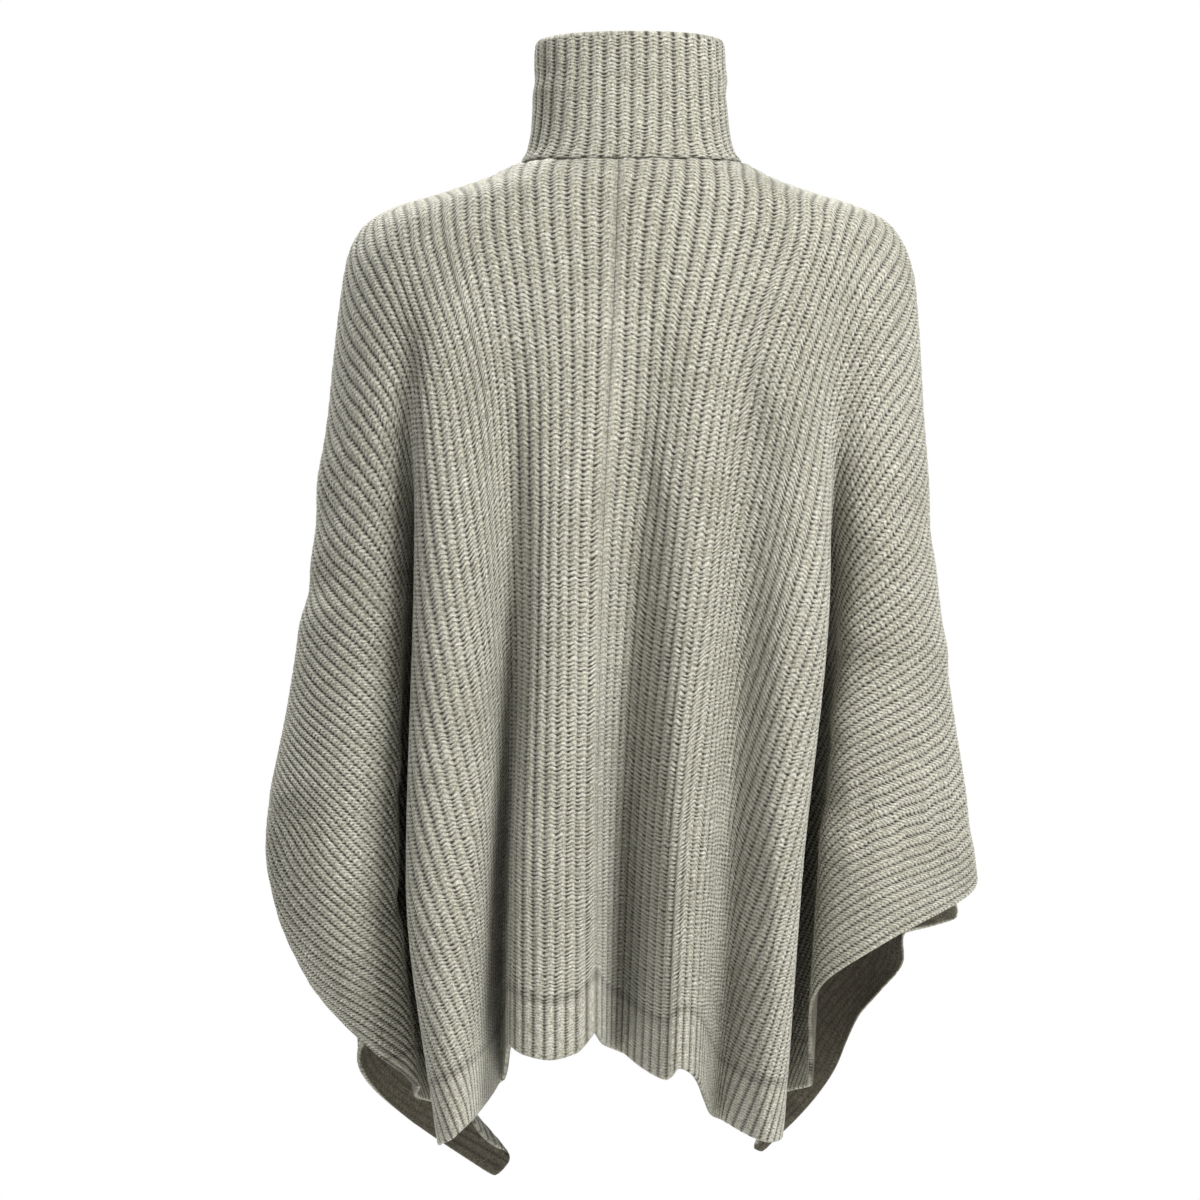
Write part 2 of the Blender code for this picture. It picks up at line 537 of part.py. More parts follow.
def slider_and_tab(line, group, cutters, metal):
    """Slider body of two plates and a bridge, with a pin on which the pull tab hangs."""
    points, _ = part_of_line(line, SLIDER_TOP, SLIDER_TOP - SLIDER_LONG)
    middle = points[:, 1].mean() / MM + TAPE_DEPTH
    top, low = SLIDER_TOP, SLIDER_TOP - SLIDER_LONG
    near, far = PLATE
    plates = [block(name, (-SLIDER_HALF, start, low), (SLIDER_HALF, end, top), group, metal)
              for name, start, end in (("slider", middle - far, middle - near),
                                       ("back_plate", middle + near, middle + far))]
    bridge = block("bridge", (-BRIDGE_HALF[0], middle - BRIDGE_HALF[1], top - BRIDGE_ENDS[0]),
                   (BRIDGE_HALF[0], middle + BRIDGE_HALF[1], top - BRIDGE_ENDS[1]), group, metal)
    lugs = []
    for name, across in (("lug_left", LUG_ACROSS), ("lug_right", [-x for x in LUG_ACROSS[::-1]])):
        lugs.append(block(name, (across[0], middle - LUG_OUT[1], top - LUG_ENDS[0]),
                          (across[1], middle - LUG_OUT[0], top - LUG_ENDS[1]), group, metal))
    hinge = (0, middle - HINGE_OUT, top - HINGE_DOWN)
    pin = rod("pin", hinge, PIN_RADIUS, PIN_HALF, group, metal)
    combine(plates[0], [plates[1], bridge, *lugs, pin], "UNION", cutters)

    # the tab's pieces are made round its own origin, which is then put on the pin
    tab = rod("pull_tab", (0, 0, 0), EYE_OUTER, EYE_HALF, group, metal)
    neck_width, neck_thick = TAB_NECK_HALF
    neck = block("tab_neck", (-neck_width, -neck_thick, -TAB_NECK_ENDS[0]),
                 (neck_width, neck_thick, -TAB_NECK_ENDS[1]), group, metal)
    blade = block("tab_blade", (-TAB_HALF, -TAB_THICK_HALF, -TAB_LONG),
                  (TAB_HALF, TAB_THICK_HALF, -TAB_SHOULDER), group, metal)
    eye = rod("tab_eye", (0, 0, 0), EYE_RADIUS, PIN_HALF, group, metal)
    for piece in (tab, neck, blade, eye):
        piece.location = Vector(hinge) * MM
    combine(tab, [neck, blade], "UNION", cutters)
    combine(tab, [eye], "DIFFERENCE", cutters)


def main():
    for thing in list(bpy.data.objects):
        bpy.data.objects.remove(thing, do_unlink=True)
    garment = collection("knitted_poncho_sweater")
    cutters = collection("cutters")
    knit = material("wool_knit", (0.50, 0.49, 0.43), 0.92)
    woven = material("zip_tape", (0.44, 0.43, 0.38), 0.85)
    metal = material("zip_metal", (0.62, 0.60, 0.56), 0.32, 1.0)

    panels = {}
    for name, side, face in (("back_left", 1, 1), ("back_right", -1, 1),
                             ("front_left", 1, -1), ("front_right", -1, -1)):
        outer, normal = panels[name] = panel_grid(name, side, face)
        add_sheet(name, outer, outer - WALL * MM * normal, garment, knit)

    collar = collar_grid(panels)
    collar_normal = grid_normals(collar)
    inner = collar - COLLAR_WALL * MM * collar_normal
    inner[:, -1, 2] = collar[:, -1, 2]
    add_sheet("collar", collar, inner, garment, knit)

    line = zip_rows(panels, collar, collar_normal)
    hem = line[0][-1, 2] / MM
    box_low, box_high, last_tooth = BOX_ENDS
    stop_low, room = STOP_ROOM
    for word, side in (("left", 1), ("right", -1)):
        tape("zip_tape_" + word, side, line, panels["front_" + word], garment, woven)
        for name, high, low in (
                ("zip_teeth_" + word, SLIDER_TOP - room, hem + last_tooth),
                ("top_stop_" + word, SLIDER_TOP + room, SLIDER_TOP + stop_low),
                ("box_left" if side > 0 else "pin_right", hem + box_high, hem + box_low)):
            strip(name, side, line, high, low, garment, metal)
    slider_and_tab(line, garment, cutters, metal)


main()
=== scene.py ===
"""Zip-up poncho sweater in chunky half-cardigan knit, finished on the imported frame.

Metres, +Z up. The front faces -Y and the wearer's left is +X. Every panel is worked out from a
rib number and a height: the tables say where each fold lies, how far it stands out and which rib
passes it. The knit's ribs are in the mesh, and its stitches are in the material, which reads the
rib and row numbers from each piece's UV map.
"""
import math

import bmesh
import bpy
import numpy as np
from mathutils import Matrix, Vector


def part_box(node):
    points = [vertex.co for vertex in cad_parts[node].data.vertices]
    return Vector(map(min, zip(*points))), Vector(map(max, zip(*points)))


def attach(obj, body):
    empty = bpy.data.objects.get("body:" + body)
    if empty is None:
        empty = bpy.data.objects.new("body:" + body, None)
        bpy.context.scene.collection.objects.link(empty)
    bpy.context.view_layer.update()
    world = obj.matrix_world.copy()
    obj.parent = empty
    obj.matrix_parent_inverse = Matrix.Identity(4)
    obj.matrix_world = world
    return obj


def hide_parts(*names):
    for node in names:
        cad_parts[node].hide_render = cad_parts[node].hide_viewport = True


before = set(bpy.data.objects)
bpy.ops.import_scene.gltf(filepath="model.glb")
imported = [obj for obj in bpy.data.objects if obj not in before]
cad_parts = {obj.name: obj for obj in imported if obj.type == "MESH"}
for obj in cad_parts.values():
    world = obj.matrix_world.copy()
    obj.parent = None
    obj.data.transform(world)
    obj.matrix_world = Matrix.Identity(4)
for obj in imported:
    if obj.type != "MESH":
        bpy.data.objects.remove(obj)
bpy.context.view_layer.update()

bl_info = {
    "name": "Knitted Poncho Sweater",
    "version": (1, 0, 0),
    "blender": (4, 5, 0),
    "location": "View3D > Sidebar > Knitwear",
    "description": "Builds a zip-up poncho sweater in half-cardigan rib, with its collar and zip",
    "category": "Object",
}

MM = 0.001
GARMENT_BODY = "garment"

# Sizes shared with the solid model
RIBS_PER_HALF = 62            # ribs from the centre back, or the zip, to the side edge
WALL = 3.6                    # mm, thickness of the knit
COLLAR_WALL = 7.2             # mm, the collar is folded double
SEAM_GAP = 0.3                # mm, left between pieces that are sewn together
SEAM_RIBS = 0.022             # about the same gap, counted in ribs
NECK_DROP = (4.0, 34.0)       # mm, how far the neckline dips at the centre back and at the zip
ZIP_EDGE = 6.4                # mm, from the middle of the zip to each front edge
ROUNDING = 1.7                # ribs, how widely each fold is rounded
NECK_CURVE = 2.2              # how suddenly the neckline climbs towards the shoulder
DRAPE_ROUND = 2.4             # how square the level outline of the drape is: 2 would be an ellipse
SEAM_FORWARD = (8, 24)        # mm, shoulder seam in front of the arm: at the neck, and more below
COLLAR_TOP = 94.0             # mm above the neckline
COLLAR_HALF = (76.5, 57.0)    # mm, half width and half depth at its top
COLLAR_ROUND = 2.3            # how square its outline is: 2 would be an ellipse
COLLAR_SHIFT = 2.0            # mm, how far the nape leans to the wearer's right at the top
NECK_HALF = (92.0, 62.0, 74.0)     # mm, neckline's half width, depth behind and depth in front
# share of the height, and how much of the neckline's wider outline is left there
COLLAR_FLARE = ((0.0, 1.0), (0.1, 0.49), (0.3, 0.22), (0.55, 0.1), (0.8, 0.03), (1.0, 0.0))
TAPE_DEPTH = WALL + 0.9       # mm, from the face of the knit to the middle of the tape
SLIDER_TOP = 87.0             # mm, height of the slider's upper end
STOP_ROOM = 4.4               # mm, the teeth end as far below it
LAST_TOOTH = 12.0             # mm above the hem

# Outline of shoulders and sleeves, all in millimetres: height, half the width across the arms on
# each side, the rib that crosses the shoulder seam there, and how many ribs behind the seam the
# outermost line lies.
ARM_LINE = np.array([
    # height  left  right  left rib  right rib  left turn  right turn
    (0,       93,   97,    7.4,      9.0,       0.45,      0.50),
    (-14,     121,  122,   9.3,      11.4,      0.60,      0.70),
    (-25,     153,  152,   12.2,     14.1,      0.80,      0.90),
    (-36,     189,  187,   16.0,     17.4,      1.00,      1.10),
    (-45,     207,  206,   17.9,     19.3,      1.10,      1.20),
    (-55,     218,  217,   19.3,     20.6,      1.20,      1.30),
    (-75,     228,  228,   21.0,     22.6,      1.30,      1.40),
    (-100,    233,  234,   22.9,     24.8,      1.50,      1.60),
    (-200,    246,  242,   28.5,     31.4,      2.00,      2.20),
    (-310,    258,  250,   36.0,     39.8,      2.40,      2.50),
    (-430,    277,  264,   46.5,     49.7,      2.50,      2.50),
    (-555,    297,  283,   59.0,     61.4,      2.40,      2.50),
    (-600,    292,  287,   60.2,     67.6,      1.80,      2.50),
    (-660,    271,  282,   62.0,     74.5,      1.20,      2.50),
    (-715,    236,  260,   65.4,     80.0,      0.80,      2.50),
    (-770,    226,  242,   71.2,     85.0,      0.80,      2.50),
    (-840,    218,  232,   77.0,     92.0,      0.80,      2.50),
])

# The plain drape below the folds: height, depth behind and in front of the middle, half width.
DRAPE = np.array([
    # height  back  front  left  right
    (0,       62,   58,    93,   97),
    (-30,     76,   74,    170,  168),
    (-90,     90,   99,    232,  232),
    (-200,    105,  121,   246,  242),
    (-310,    107,  128,   258,  250),
    (-430,    103,  128,   278,  264),
    (-555,    100,  126,   297,  283),
    (-840,    98,   124,   300,  290),
])

# Folds, from the middle outwards: how far out each lies at the heights above the table, how far
# it stands out (or in, if negative) at all but the first, and the rib that it passes at each.
BACK_HEIGHTS = (-90, -200, -330, -570, -770)
BACK_LEFT = [
    ("middle ridge", (54, 55, 55, 58, 62), (6, 17, 36, 40), (3.7, 4.2, 4.0, 4.2, 4.6)),
    ("ridge edge", (85, 80, 77, 89, 94), (3, 8, 18, 24), (6.4, 7.2, 6.9, 7.9, 9.0)),
    ("inner valley", (92, 90, 88, 98, 103), (-9, -26, -50, -60), (7.1, 8.1, 8.6, 12.0, 15.0)),
    ("tail flank", (117, 110, 107, 113, 118), (2, 6, 6, 2), (9.5, 11.0, 11.8, 15.6, 18.6)),
    ("tail ridge", (148, 143, 142, 145, 132), (10, 22, 34, 38), (12.8, 15.4, 16.2, 19.2, 21.4)),
    ("tail edge", (176, 166, 168, 174, 150), (4, 2, 12, 18), (15.7, 18.4, 19.2, 22.4, 24.2)),
    ("deep valley", (183, 172, 171, 176, 156), (-24, -84, -140, -140),
     (16.5, 20.4, 25.4, 38.0, 47.0)),
    ("sleeve under", (187, 176, 177, 191, 170), (-19, -58, -90, -100),
     (16.8, 21.1, 27.2, 43.0, 57.0)),
    ("sleeve rim", (190, 181, 180, 182, 163), (-12, -28, -40, -60),
     (17.1, 21.7, 29.0, 48.2, 65.0)),
    ("sleeve back", (198, 207, 208, 222, 200), (-3, -4, 0, -16), (18.0, 23.8, 31.4, 51.4, 66.3)),
]
BACK_RIGHT = [
    ("inner valley", (6, 5, 2, -3, -6), (-8, -25, -56, -70), (1.7, 1.9, 3.2, 4.6, 5.4)),
    ("middle ridge", (48, 46, 42, 36, 34), (6, 14, 26, 32), (5.0, 6.8, 8.3, 11.2, 12.2)),
    ("ridge edge", (65, 63, 62, 55, 50), (4, 8, 14, 14), (6.4, 8.5, 10.7, 14.2, 15.2)),
    ("soft valley", (88, 88, 86, 82, 72), (-6, -14, -26, -38), (8.5, 11.4, 13.8, 19.4, 21.6)),
    ("tail ridge", (134, 132, 128, 114, 104), (10, 20, 32, 36), (12.8, 16.8, 19.3, 24.0, 26.6)),
    ("tail edge", (158, 155, 157, 134, 119), (3, 2, 14, 20), (15.4, 19.6, 22.6, 26.8, 29.7)),
    ("deep valley", (168, 164, 162, 141, 128), (-22, -80, -142, -142),
     (16.4, 21.8, 28.6, 42.4, 52.6)),
    ("sleeve under", (173, 170, 171, 157, 146), (-19, -58, -94, -104),
     (17.0, 22.6, 30.8, 47.4, 61.4)),
    ("sleeve rim", (178, 178, 175, 152, 141), (-13, -34, -52, -70),
     (17.5, 23.4, 32.6, 53.4, 71.0)),
    ("sleeve back", (194, 205, 206, 204, 200), (-3, -5, -10, -20), (19.0, 26.2, 34.2, 57.2, 75.0)),
]
FRONT_HEIGHTS = (-90, -200, -330, -600, -735, -830)
FRONT_LEFT = [
    ("zip ridge", (42, 44, 46, 44, 41, 38), (3, 12, 26, 27, 28), (4.0, 4.3, 4.6, 6.0, 6.6, 7.0)),
    ("inner valley", (70, 72, 72, 67, 62, 57), (-2, -14, -28, -29, -30),
     (6.6, 7.6, 9.2, 14.4, 16.4, 17.6)),
    ("front ridge", (102, 104, 102, 97, 90, 82), (5, 17, 23, 22, 22),
     (9.6, 11.4, 14.0, 23.0, 26.4, 28.0)),
    ("deep valley", (150, 140, 130, 125, 132, 128), (-4, -28, -50, -54, -44),
     (14.4, 16.6, 20.4, 34.0, 42.0, 50.0)),
    ("sleeve rim", (172, 162, 154, 150, 154, 90), (-2, -8, -12, -16, -12),
     (16.6, 19.0, 23.4, 40.0, 49.0, 59.0)),
    ("sleeve front", (196, 204, 210, 217, 227, 143), (0, 0, 0, -4, -8),
     (18.6, 22.6, 29.0, 47.2, 62.0, 63.6)),
]
FRONT_RIGHT = [
    ("zip ridge", (42, 46, 50, 46, 43, 40), (3, 14, 27, 28, 29), (4.6, 4.8, 5.3, 6.6, 7.2, 7.6)),
    ("inner valley", (70, 74, 73, 67, 62, 58), (-2, -12, -27, -28, -28),
     (7.4, 8.4, 10.4, 15.2, 17.0, 18.0)),
    ("front ridge", (102, 106, 102, 94, 89, 84), (5, 15, 20, 20, 20),
     (10.6, 12.6, 15.5, 24.0, 27.4, 29.4)),
    ("deep valley", (150, 142, 129, 119, 112, 106), (-4, -26, -46, -46, -46),
     (15.8, 18.2, 22.0, 35.6, 47.0, 53.0)),
    ("sleeve rim", (172, 162, 153, 146, 140, 92), (-2, -8, -10, -14, -14),
     (18.2, 20.8, 25.2, 41.8, 54.0, 60.5)),
    ("sleeve front", (194, 202, 206, 208, 177, 116), (0, 0, 0, -10, -10),
     (20.4, 24.8, 32.1, 50.6, 62.0, 66.0)),
]

# The lower edge: rib number and height of the hem, in millimetres.
HEM = {
    "back_left": ((0, -688), (2, -703), (4.5, -706), (7, -703), (9, -699), (10.8, -706),
                  (12.2, -722), (14.5, -738), (17, -749), (20.5, -762), (23.5, -773), (27, -779),
                  (40, -776), (53, -762), (62, -744)),
    "back_right": ((0, -688), (2, -703), (4.5, -712), (8, -722), (10.5, -724), (12.8, -714),
                   (15, -721), (16.5, -731), (18, -744), (20.5, -761), (25, -769), (29, -771),
                   (42, -770), (52, -760), (62, -745)),
    "front_left": ((0, -704), (6, -708), (14, -708), (24, -710), (32, -714), (38, -724),
                   (43, -745), (47, -768), (50, -787), (53, -805), (55.5, -814), (58, -820),
                   (60, -828), (62, -838)),
    "front_right": ((0, -704), (6, -710), (15, -710), (24, -714), (34, -724), (42, -744),
                    (49, -776), (55, -800), (59, -812), (62, -817)),
}
# The front's side edge swings out at the right cuff: height, and how far out
CUFF_FLARE = ((-582, 0), (-597, 26), (-607, 43), (-616, 45), (-624, 30), (-632, 7),
              (-657, 14), (-682, 6), (-705, 0), (-755, 4), (-800, 7), (-840, 7))
FLARE_RIBS = (48, 62)         # it fades out between these ribs
FLARE_BACK = 0.2              # share of it that also swings backward
FOLDS_TOP = -90               # mm, above this the folds fade into the shoulders
HEM_LOW = -840                # mm, below every hem
CENTRE_SWELL = (0, 0, 2, 5, 8)     # mm, how far the centre back stands out at BACK_HEIGHTS
ARM_EASE = (30, 170)          # mm, where the arm's section starts to round off, and over how much
ARM_ROUND = 0.6               # how much rounder it is below that
# Round the arm: turns past the seam, share of the rounding, and how far ahead of the seam line
ARM_TURNS = ((-2, 1, -1), (-1, 0, 0), (0, 0.8, 1), (1.3, 2.4, 1.75))
CENTRE_BACK = ((0, 8), (-90, 11), (-330, 21), (-570, 25), (-840, 25))   # the seam leans to +X


def smooth(at, knots, values):
    """Values on smooth curves through the knots; each argument has a row for each curve."""
    at, knots, values = (np.atleast_2d(np.asarray(part, float)) for part in (at, knots, values))
    gap = np.diff(knots, axis=1)
    slope = np.diff(values, axis=1) / gap
    before, after = slope[:, :-1], slope[:, 1:]
    weigh_before = gap[:, :-1] + 2 * gap[:, 1:]
    weigh_after = 2 * gap[:, :-1] + gap[:, 1:]
    level = before * after <= 0
    safe_before, safe_after = np.where(level, 1.0, before), np.where(level, 1.0, after)
    inner = (weigh_before + weigh_after) / (weigh_before / safe_after + weigh_after / safe_before)
    inner = np.where(level, 0.0, inner)
    tangent = np.concatenate([slope[:, :1], inner, slope[:, -1:]], axis=1)
    index = np.clip((knots[:, :, None] <= at[:, None]).sum(axis=1) - 1, 0, knots.shape[1] - 2)

    def pick(table, step=0):
        return np.take_along_axis(table, index + step, axis=1)

    width = pick(gap)
    along = (at - pick(knots)) / width
    t = np.clip(along, 0.0, 1.0)
    beyond = (along - t) * width * np.where(along < 0.5, pick(tangent), pick(tangent, 1))
    curve = pick(values) * (1 + 2 * t) * (1 - t) ** 2 + pick(values, 1) * t * t * (3 - 2 * t)
    curve += width * pick(tangent) * t * (1 - t) ** 2
    curve -= width * pick(tangent, 1) * t * t * (1 - t)
    return curve + beyond


def at_height(z, heights, values):
    """One column of a table that is written from the top down, read at height z."""
    z = np.asarray(z, float)
    return smooth(-z.ravel(), -np.asarray(heights, float), values).reshape(z.shape)


def arm_line(z, side, column):
    """Column 1 is the half width, 3 the rib at the seam, 5 the ribs behind it (left side)."""
    return at_height(z, ARM_LINE[:, 0], ARM_LINE[:, column + (side < 0)])


def drape_depth(out, z, side, face):
    """Depth of the plain drape, before the folds, at a distance out from the middle."""
    depth = at_height(z, DRAPE[:, 0], DRAPE[:, 1 if face > 0 else 2])
    half = at_height(np.minimum(z, FOLDS_TOP), DRAPE[:, 0], DRAPE[:, 3 if side > 0 else 4])
    half = half + np.where(z > FOLDS_TOP,
                           arm_line(z, side, 1) - arm_line(FOLDS_TOP, side, 1), 0.0)
    return depth * np.sqrt(np.clip(1 - np.abs(out / half) ** DRAPE_ROUND, 0.0, 1.0))


def fold_knots(z, side, face):
    """Rib, distance out and depth of each fold of one panel at the heights z."""
    left, right = (BACK_LEFT, BACK_RIGHT) if face > 0 else (FRONT_LEFT, FRONT_RIGHT)
    heights = BACK_HEIGHTS if face > 0 else FRONT_HEIGHTS
    top = heights[0]
    high = z > top
    rib_scale = np.where(high, arm_line(z, side, 3) / arm_line(top, side, 3), 1.0)
    out_scale = np.where(high, arm_line(z, side, 1) / arm_line(top, side, 1), 1.0)
    low = np.minimum(z, top)
    knots = []
    for _, outs, reliefs, ribs in (left if side > 0 else right):
        rib = at_height(low, heights, ribs) * rib_scale
        out = at_height(low, heights, outs) * out_scale
        depth = drape_depth(out, z, side, face) + at_height(low, heights, (0,) + reliefs)
        knots.append((rib, out, depth))
    return knots


def cuff_flare(place, z, side):
    """How far out the front's side edge swings at the right cuff, in mm."""
    last = arm_line(z, side, 3)
    heights, swings = zip(*CUFF_FLARE)
    near_edge = np.clip((2 * last - place - FLARE_RIBS[0]) / np.ptp(FLARE_RIBS), 0.0, 1.0) ** 2
    there = (side < 0) & (z < heights[0]) & (place > last)
    return np.where(there, at_height(z, heights, swings) * near_edge, 0.0)


def section(z, side):
    """Knots of half a level section: from the centre back, over the arm, to the zip."""
    z = np.atleast_1d(np.asarray(z, float))
    last, reach, turn = (arm_line(z, side, column) for column in (3, 1, 5))
    ease = np.clip((-z - ARM_EASE[0]) / ARM_EASE[1], 0.0, 1.0)
    centre = at_height(z, *zip(*CENTRE_BACK)) * side
    relief = at_height(np.minimum(z, FOLDS_TOP), BACK_HEIGHTS, CENTRE_SWELL)
    knots = [(0 * z, centre, drape_depth(centre, z, side, 1) + relief)]
    knots += fold_knots(z, side, 1)
    forward = SEAM_FORWARD[0] + SEAM_FORWARD[1] * ease
    depth = at_height(z, DRAPE[:, 0], DRAPE[:, 1])
    round_off = (reach * (1 - (1 - (forward / depth) ** 2) ** (1 / DRAPE_ROUND))
                 * (1 + ARM_ROUND * ease))
    knots += [(last + turns * turn, reach - drawn_in * round_off, -ahead * forward)
              for turns, drawn_in, ahead in ARM_TURNS]
    knots += [(2 * last - rib, out, -depth)
              for rib, out, depth in reversed(fold_knots(z, side, -1))]
    zip_out = ZIP_EDGE + 0 * z
    knots += [(2 * last, zip_out, -drape_depth(zip_out, z, side, -1))]
    return [np.stack([knot[i] for knot in knots], axis=1) for i in range(3)]


# The cloth is worked out once on a close net of heights, in mm, and places, in ribs
TABLE_TOP, TABLE_LOW, HEIGHT_STEP, PLACE_STEP = 6.0, -846.0, 1.5, 0.125
# Weights of the mean that rounds the folds, and how far off each lies, as a share of ROUNDING
ROUND_WEIGHTS = ((1, -1.0), (2, -0.5), (3, 0.0), (2, 0.5), (1, 1.0))
NEAR_PLACE, NEAR_HEIGHT = 0.05, 0.4     # ribs and mm, over which a slope is read
TABLES = {}


def cloth_table(side):
    """Points of the outer face in metres, at every HEIGHT_STEP and every PLACE_STEP.

    A place counts ribs from the centre back round to the zip. Each point is a weighted mean over
    ROUNDING ribs to either side, so that thick cloth turns its folds roundly.
    """
    z = TABLE_TOP - HEIGHT_STEP * np.arange(int((TABLE_TOP - TABLE_LOW) / HEIGHT_STEP))
    knots, out, depth = section(z, side)
    full = 2 * arm_line(z, side, 3)[:, None]
    place = np.arange(0, full.max() + 1, PLACE_STEP)[None] + 0 * full
    reach = ROUNDING * np.clip(np.minimum(place, full - place) / ROUNDING, 0.0, 1.0)
    x, y = 0 * place, 0 * place
    for weight, step in ROUND_WEIGHTS:
        near = place + step * reach
        x += weight / 9 * smooth(near, knots, out)
        y += weight / 9 * smooth(near, knots, depth)
    flare = cuff_flare(place, z[:, None], side)
    x, y = x + flare, y + FLARE_BACK * flare
    return np.stack([x * side, y, z[:, None] + 0 * x], axis=2) * MM


def cloth(place, z, side):
    """Points of the outer face in metres, read between the points of its table."""
    if side not in TABLES:
        TABLES[side] = cloth_table(side)
    table = TABLES[side]
    place, z = np.broadcast_arrays(np.asarray(place, float), np.asarray(z, float))
    row = np.clip((TABLE_TOP - z) / HEIGHT_STEP, 0, table.shape[0] - 1.001)
    column = np.clip(place / PLACE_STEP, 0, table.shape[1] - 1.001)
    i, j = row.astype(int), column.astype(int)
    down, over = (row - i)[..., None], (column - j)[..., None]
    return ((table[i, j] * (1 - over) + table[i, j + 1] * over) * (1 - down)
            + (table[i + 1, j] * (1 - over) + table[i + 1, j + 1] * over) * down)


def place_of(rib, z, side, face):
    """The same place counted from the centre back, for a rib counted within its own panel."""
    rib, z = np.broadcast_arrays(rib, z)
    if face > 0:
        return rib
    return 2 * arm_line(z, side, 3) - rib


def top_of(rib, side, face):
    """Height at which a rib starts: at the collar, or at the shoulder seam."""
    heights = np.linspace(0, HEM_LOW, 1681)
    neck = arm_line(0, side, 3)
    on_seam = np.interp(rib + SEAM_RIBS, arm_line(heights, side, 3), heights)
    drop = NECK_DROP[0 if face > 0 else 1]
    on_neck = -drop * (1 - np.clip(rib / neck, 0, 1) ** NECK_CURVE)
    return np.where(rib < neck, on_neck, on_seam)


def outward(place, z, side):
    """Unit normals of the outer face, the same from both sides of a seam and of the zip."""
    place, z = np.broadcast_arrays(np.asarray(place, float), np.asarray(z, float))
    across = cloth(place + NEAR_PLACE, z, side) - cloth(place - NEAR_PLACE, z, side)
    down = cloth(place, z - NEAR_HEIGHT, side) - cloth(place, z + NEAR_HEIGHT, side)
    normal = np.cross(across, down) * side
    to_zip = 2 * arm_line(z.ravel(), side, 3).reshape(z.shape) - place
    normal[..., 0] = np.where(np.minimum(place, to_zip) < 2 * NEAR_PLACE, 0.0, normal[..., 0])
    return normal / np.linalg.norm(normal, axis=-1, keepdims=True)


def along_ribs(ribs, rows, side, face, hem):
    """Heights of the rows that divide each rib into even lengths, from its top to the hem."""
    top = top_of(ribs, side, face)[:, None]
    low = smooth(ribs, [row[0] for row in hem], [row[1] for row in hem])[0][:, None]
    z = top + (low - top) * np.linspace(0, 1, 121) ** 1.5
    points = cloth(place_of(ribs[:, None], z, side, face), z, side)
    steps = np.linalg.norm(np.diff(points, axis=1), axis=2)
    length = np.concatenate([np.zeros((len(ribs), 1)), np.cumsum(steps, axis=1)], axis=1)
    shares = np.linspace(0, 1, rows)
    return np.array([np.interp(shares * length[i, -1], length[i], z[i]) for i in range(len(ribs))])


# Fine surface of the knit
RIB_STEPS = 6                 # mesh columns to each rib of the outer face
INNER_STEP = 3                # inner face: a column or row for this many of the outer one
PANEL_ROWS = {1: 130, -1: 145}     # mesh rows of a back and of a front panel
FRONT_FULL_RIBS = 25          # the front's outer ribs count as less than those in the tables
FRONT_RIB_SHARE = 0.75
BACK_FULL_RIBS = 18           # the back's outer ribs count as more
BACK_RIB_SHARE = 1.5
# Shown ribs of the backs: height, the rib of the tables from which the sleeve holds more of them,
# how many ribs further on they have slanted, and the ribs of the tables between which they do
RIB_SHIFTS = {
    1: ((0, 9.5, 0, 6, 9), (-90, 16.8, 0, 7.1, 11), (-200, 20.4, 0.8, 8.1, 12.5),
        (-330, 28.0, 2.2, 8.8, 13.2), (-440, 36.0, 3.4, 9.6, 14.6), (-570, 44.0, 5.6, 11.4, 17),
        (-770, 57.0, 12.0, 14.0, 20.5), (-840, 62.0, 15.0, 14.5, 21.5)),
    -1: ((0, 11.5, 0, 6, 8), (-90, 17.5, 0, 6.4, 8.5), (-200, 23.0, 0.5, 8.5, 11.4),
         (-330, 31.5, 1.4, 10.7, 14.2), (-440, 40.0, 2.6, 12.4, 17.2), (-570, 51.0, 4.4, 14.2, 20),
         (-770, 66.0, 10.0, 15.2, 22.6), (-840, 72.0, 12.5, 15.5, 23)),
}
SLEEVE_RIBS = {1: 0.58, -1: 0.4}    # how many more
SLEEVE_SOFT = 1.2             # ribs, over which they begin
CROWDED_RIBS = 3.2            # times as many ribs as in the tables: their relief is gone there
COLLAR_RIBS = 38
COLLAR_ROWS = 49
COLLAR_ROW_PITCH = 3.0        # mm, the collar is knitted tighter
# The collar's inner layer ends below its top and shows as a step: its height, how far it wanders
# up and down, over how many mm of the collar, and how far the cloth below stands out
INNER_EDGE = (60.0, 3.5, 37.0)
INNER_LIFT = 1.5
RIM_TURNS = (0.25, 0.5, 0.75)      # rows of points round the edge of the cloth, in half turns
SHOWN_GAP = 0.004             # ribs, between the pieces at the centre back
CENTRE_SEAM = (3.0, 5.0)      # mm, where the plain column beside the centre back seam fades out
NOTCH_FADE = 90.0             # mm above the hem, where rows no longer follow its notch
# mm above the hem, and how tall a row of stitches is there, as a share of the tallest
ROW_STRETCH = ((0, 40, 140, 230, 330, 450, 570, 650, 900),
               (0.7, 0.68, 0.75, 0.81, 0.87, 0.91, 0.95, 0.86, 0.82))
ROW_STEP = 5.0                # mm, at which the rows are counted up
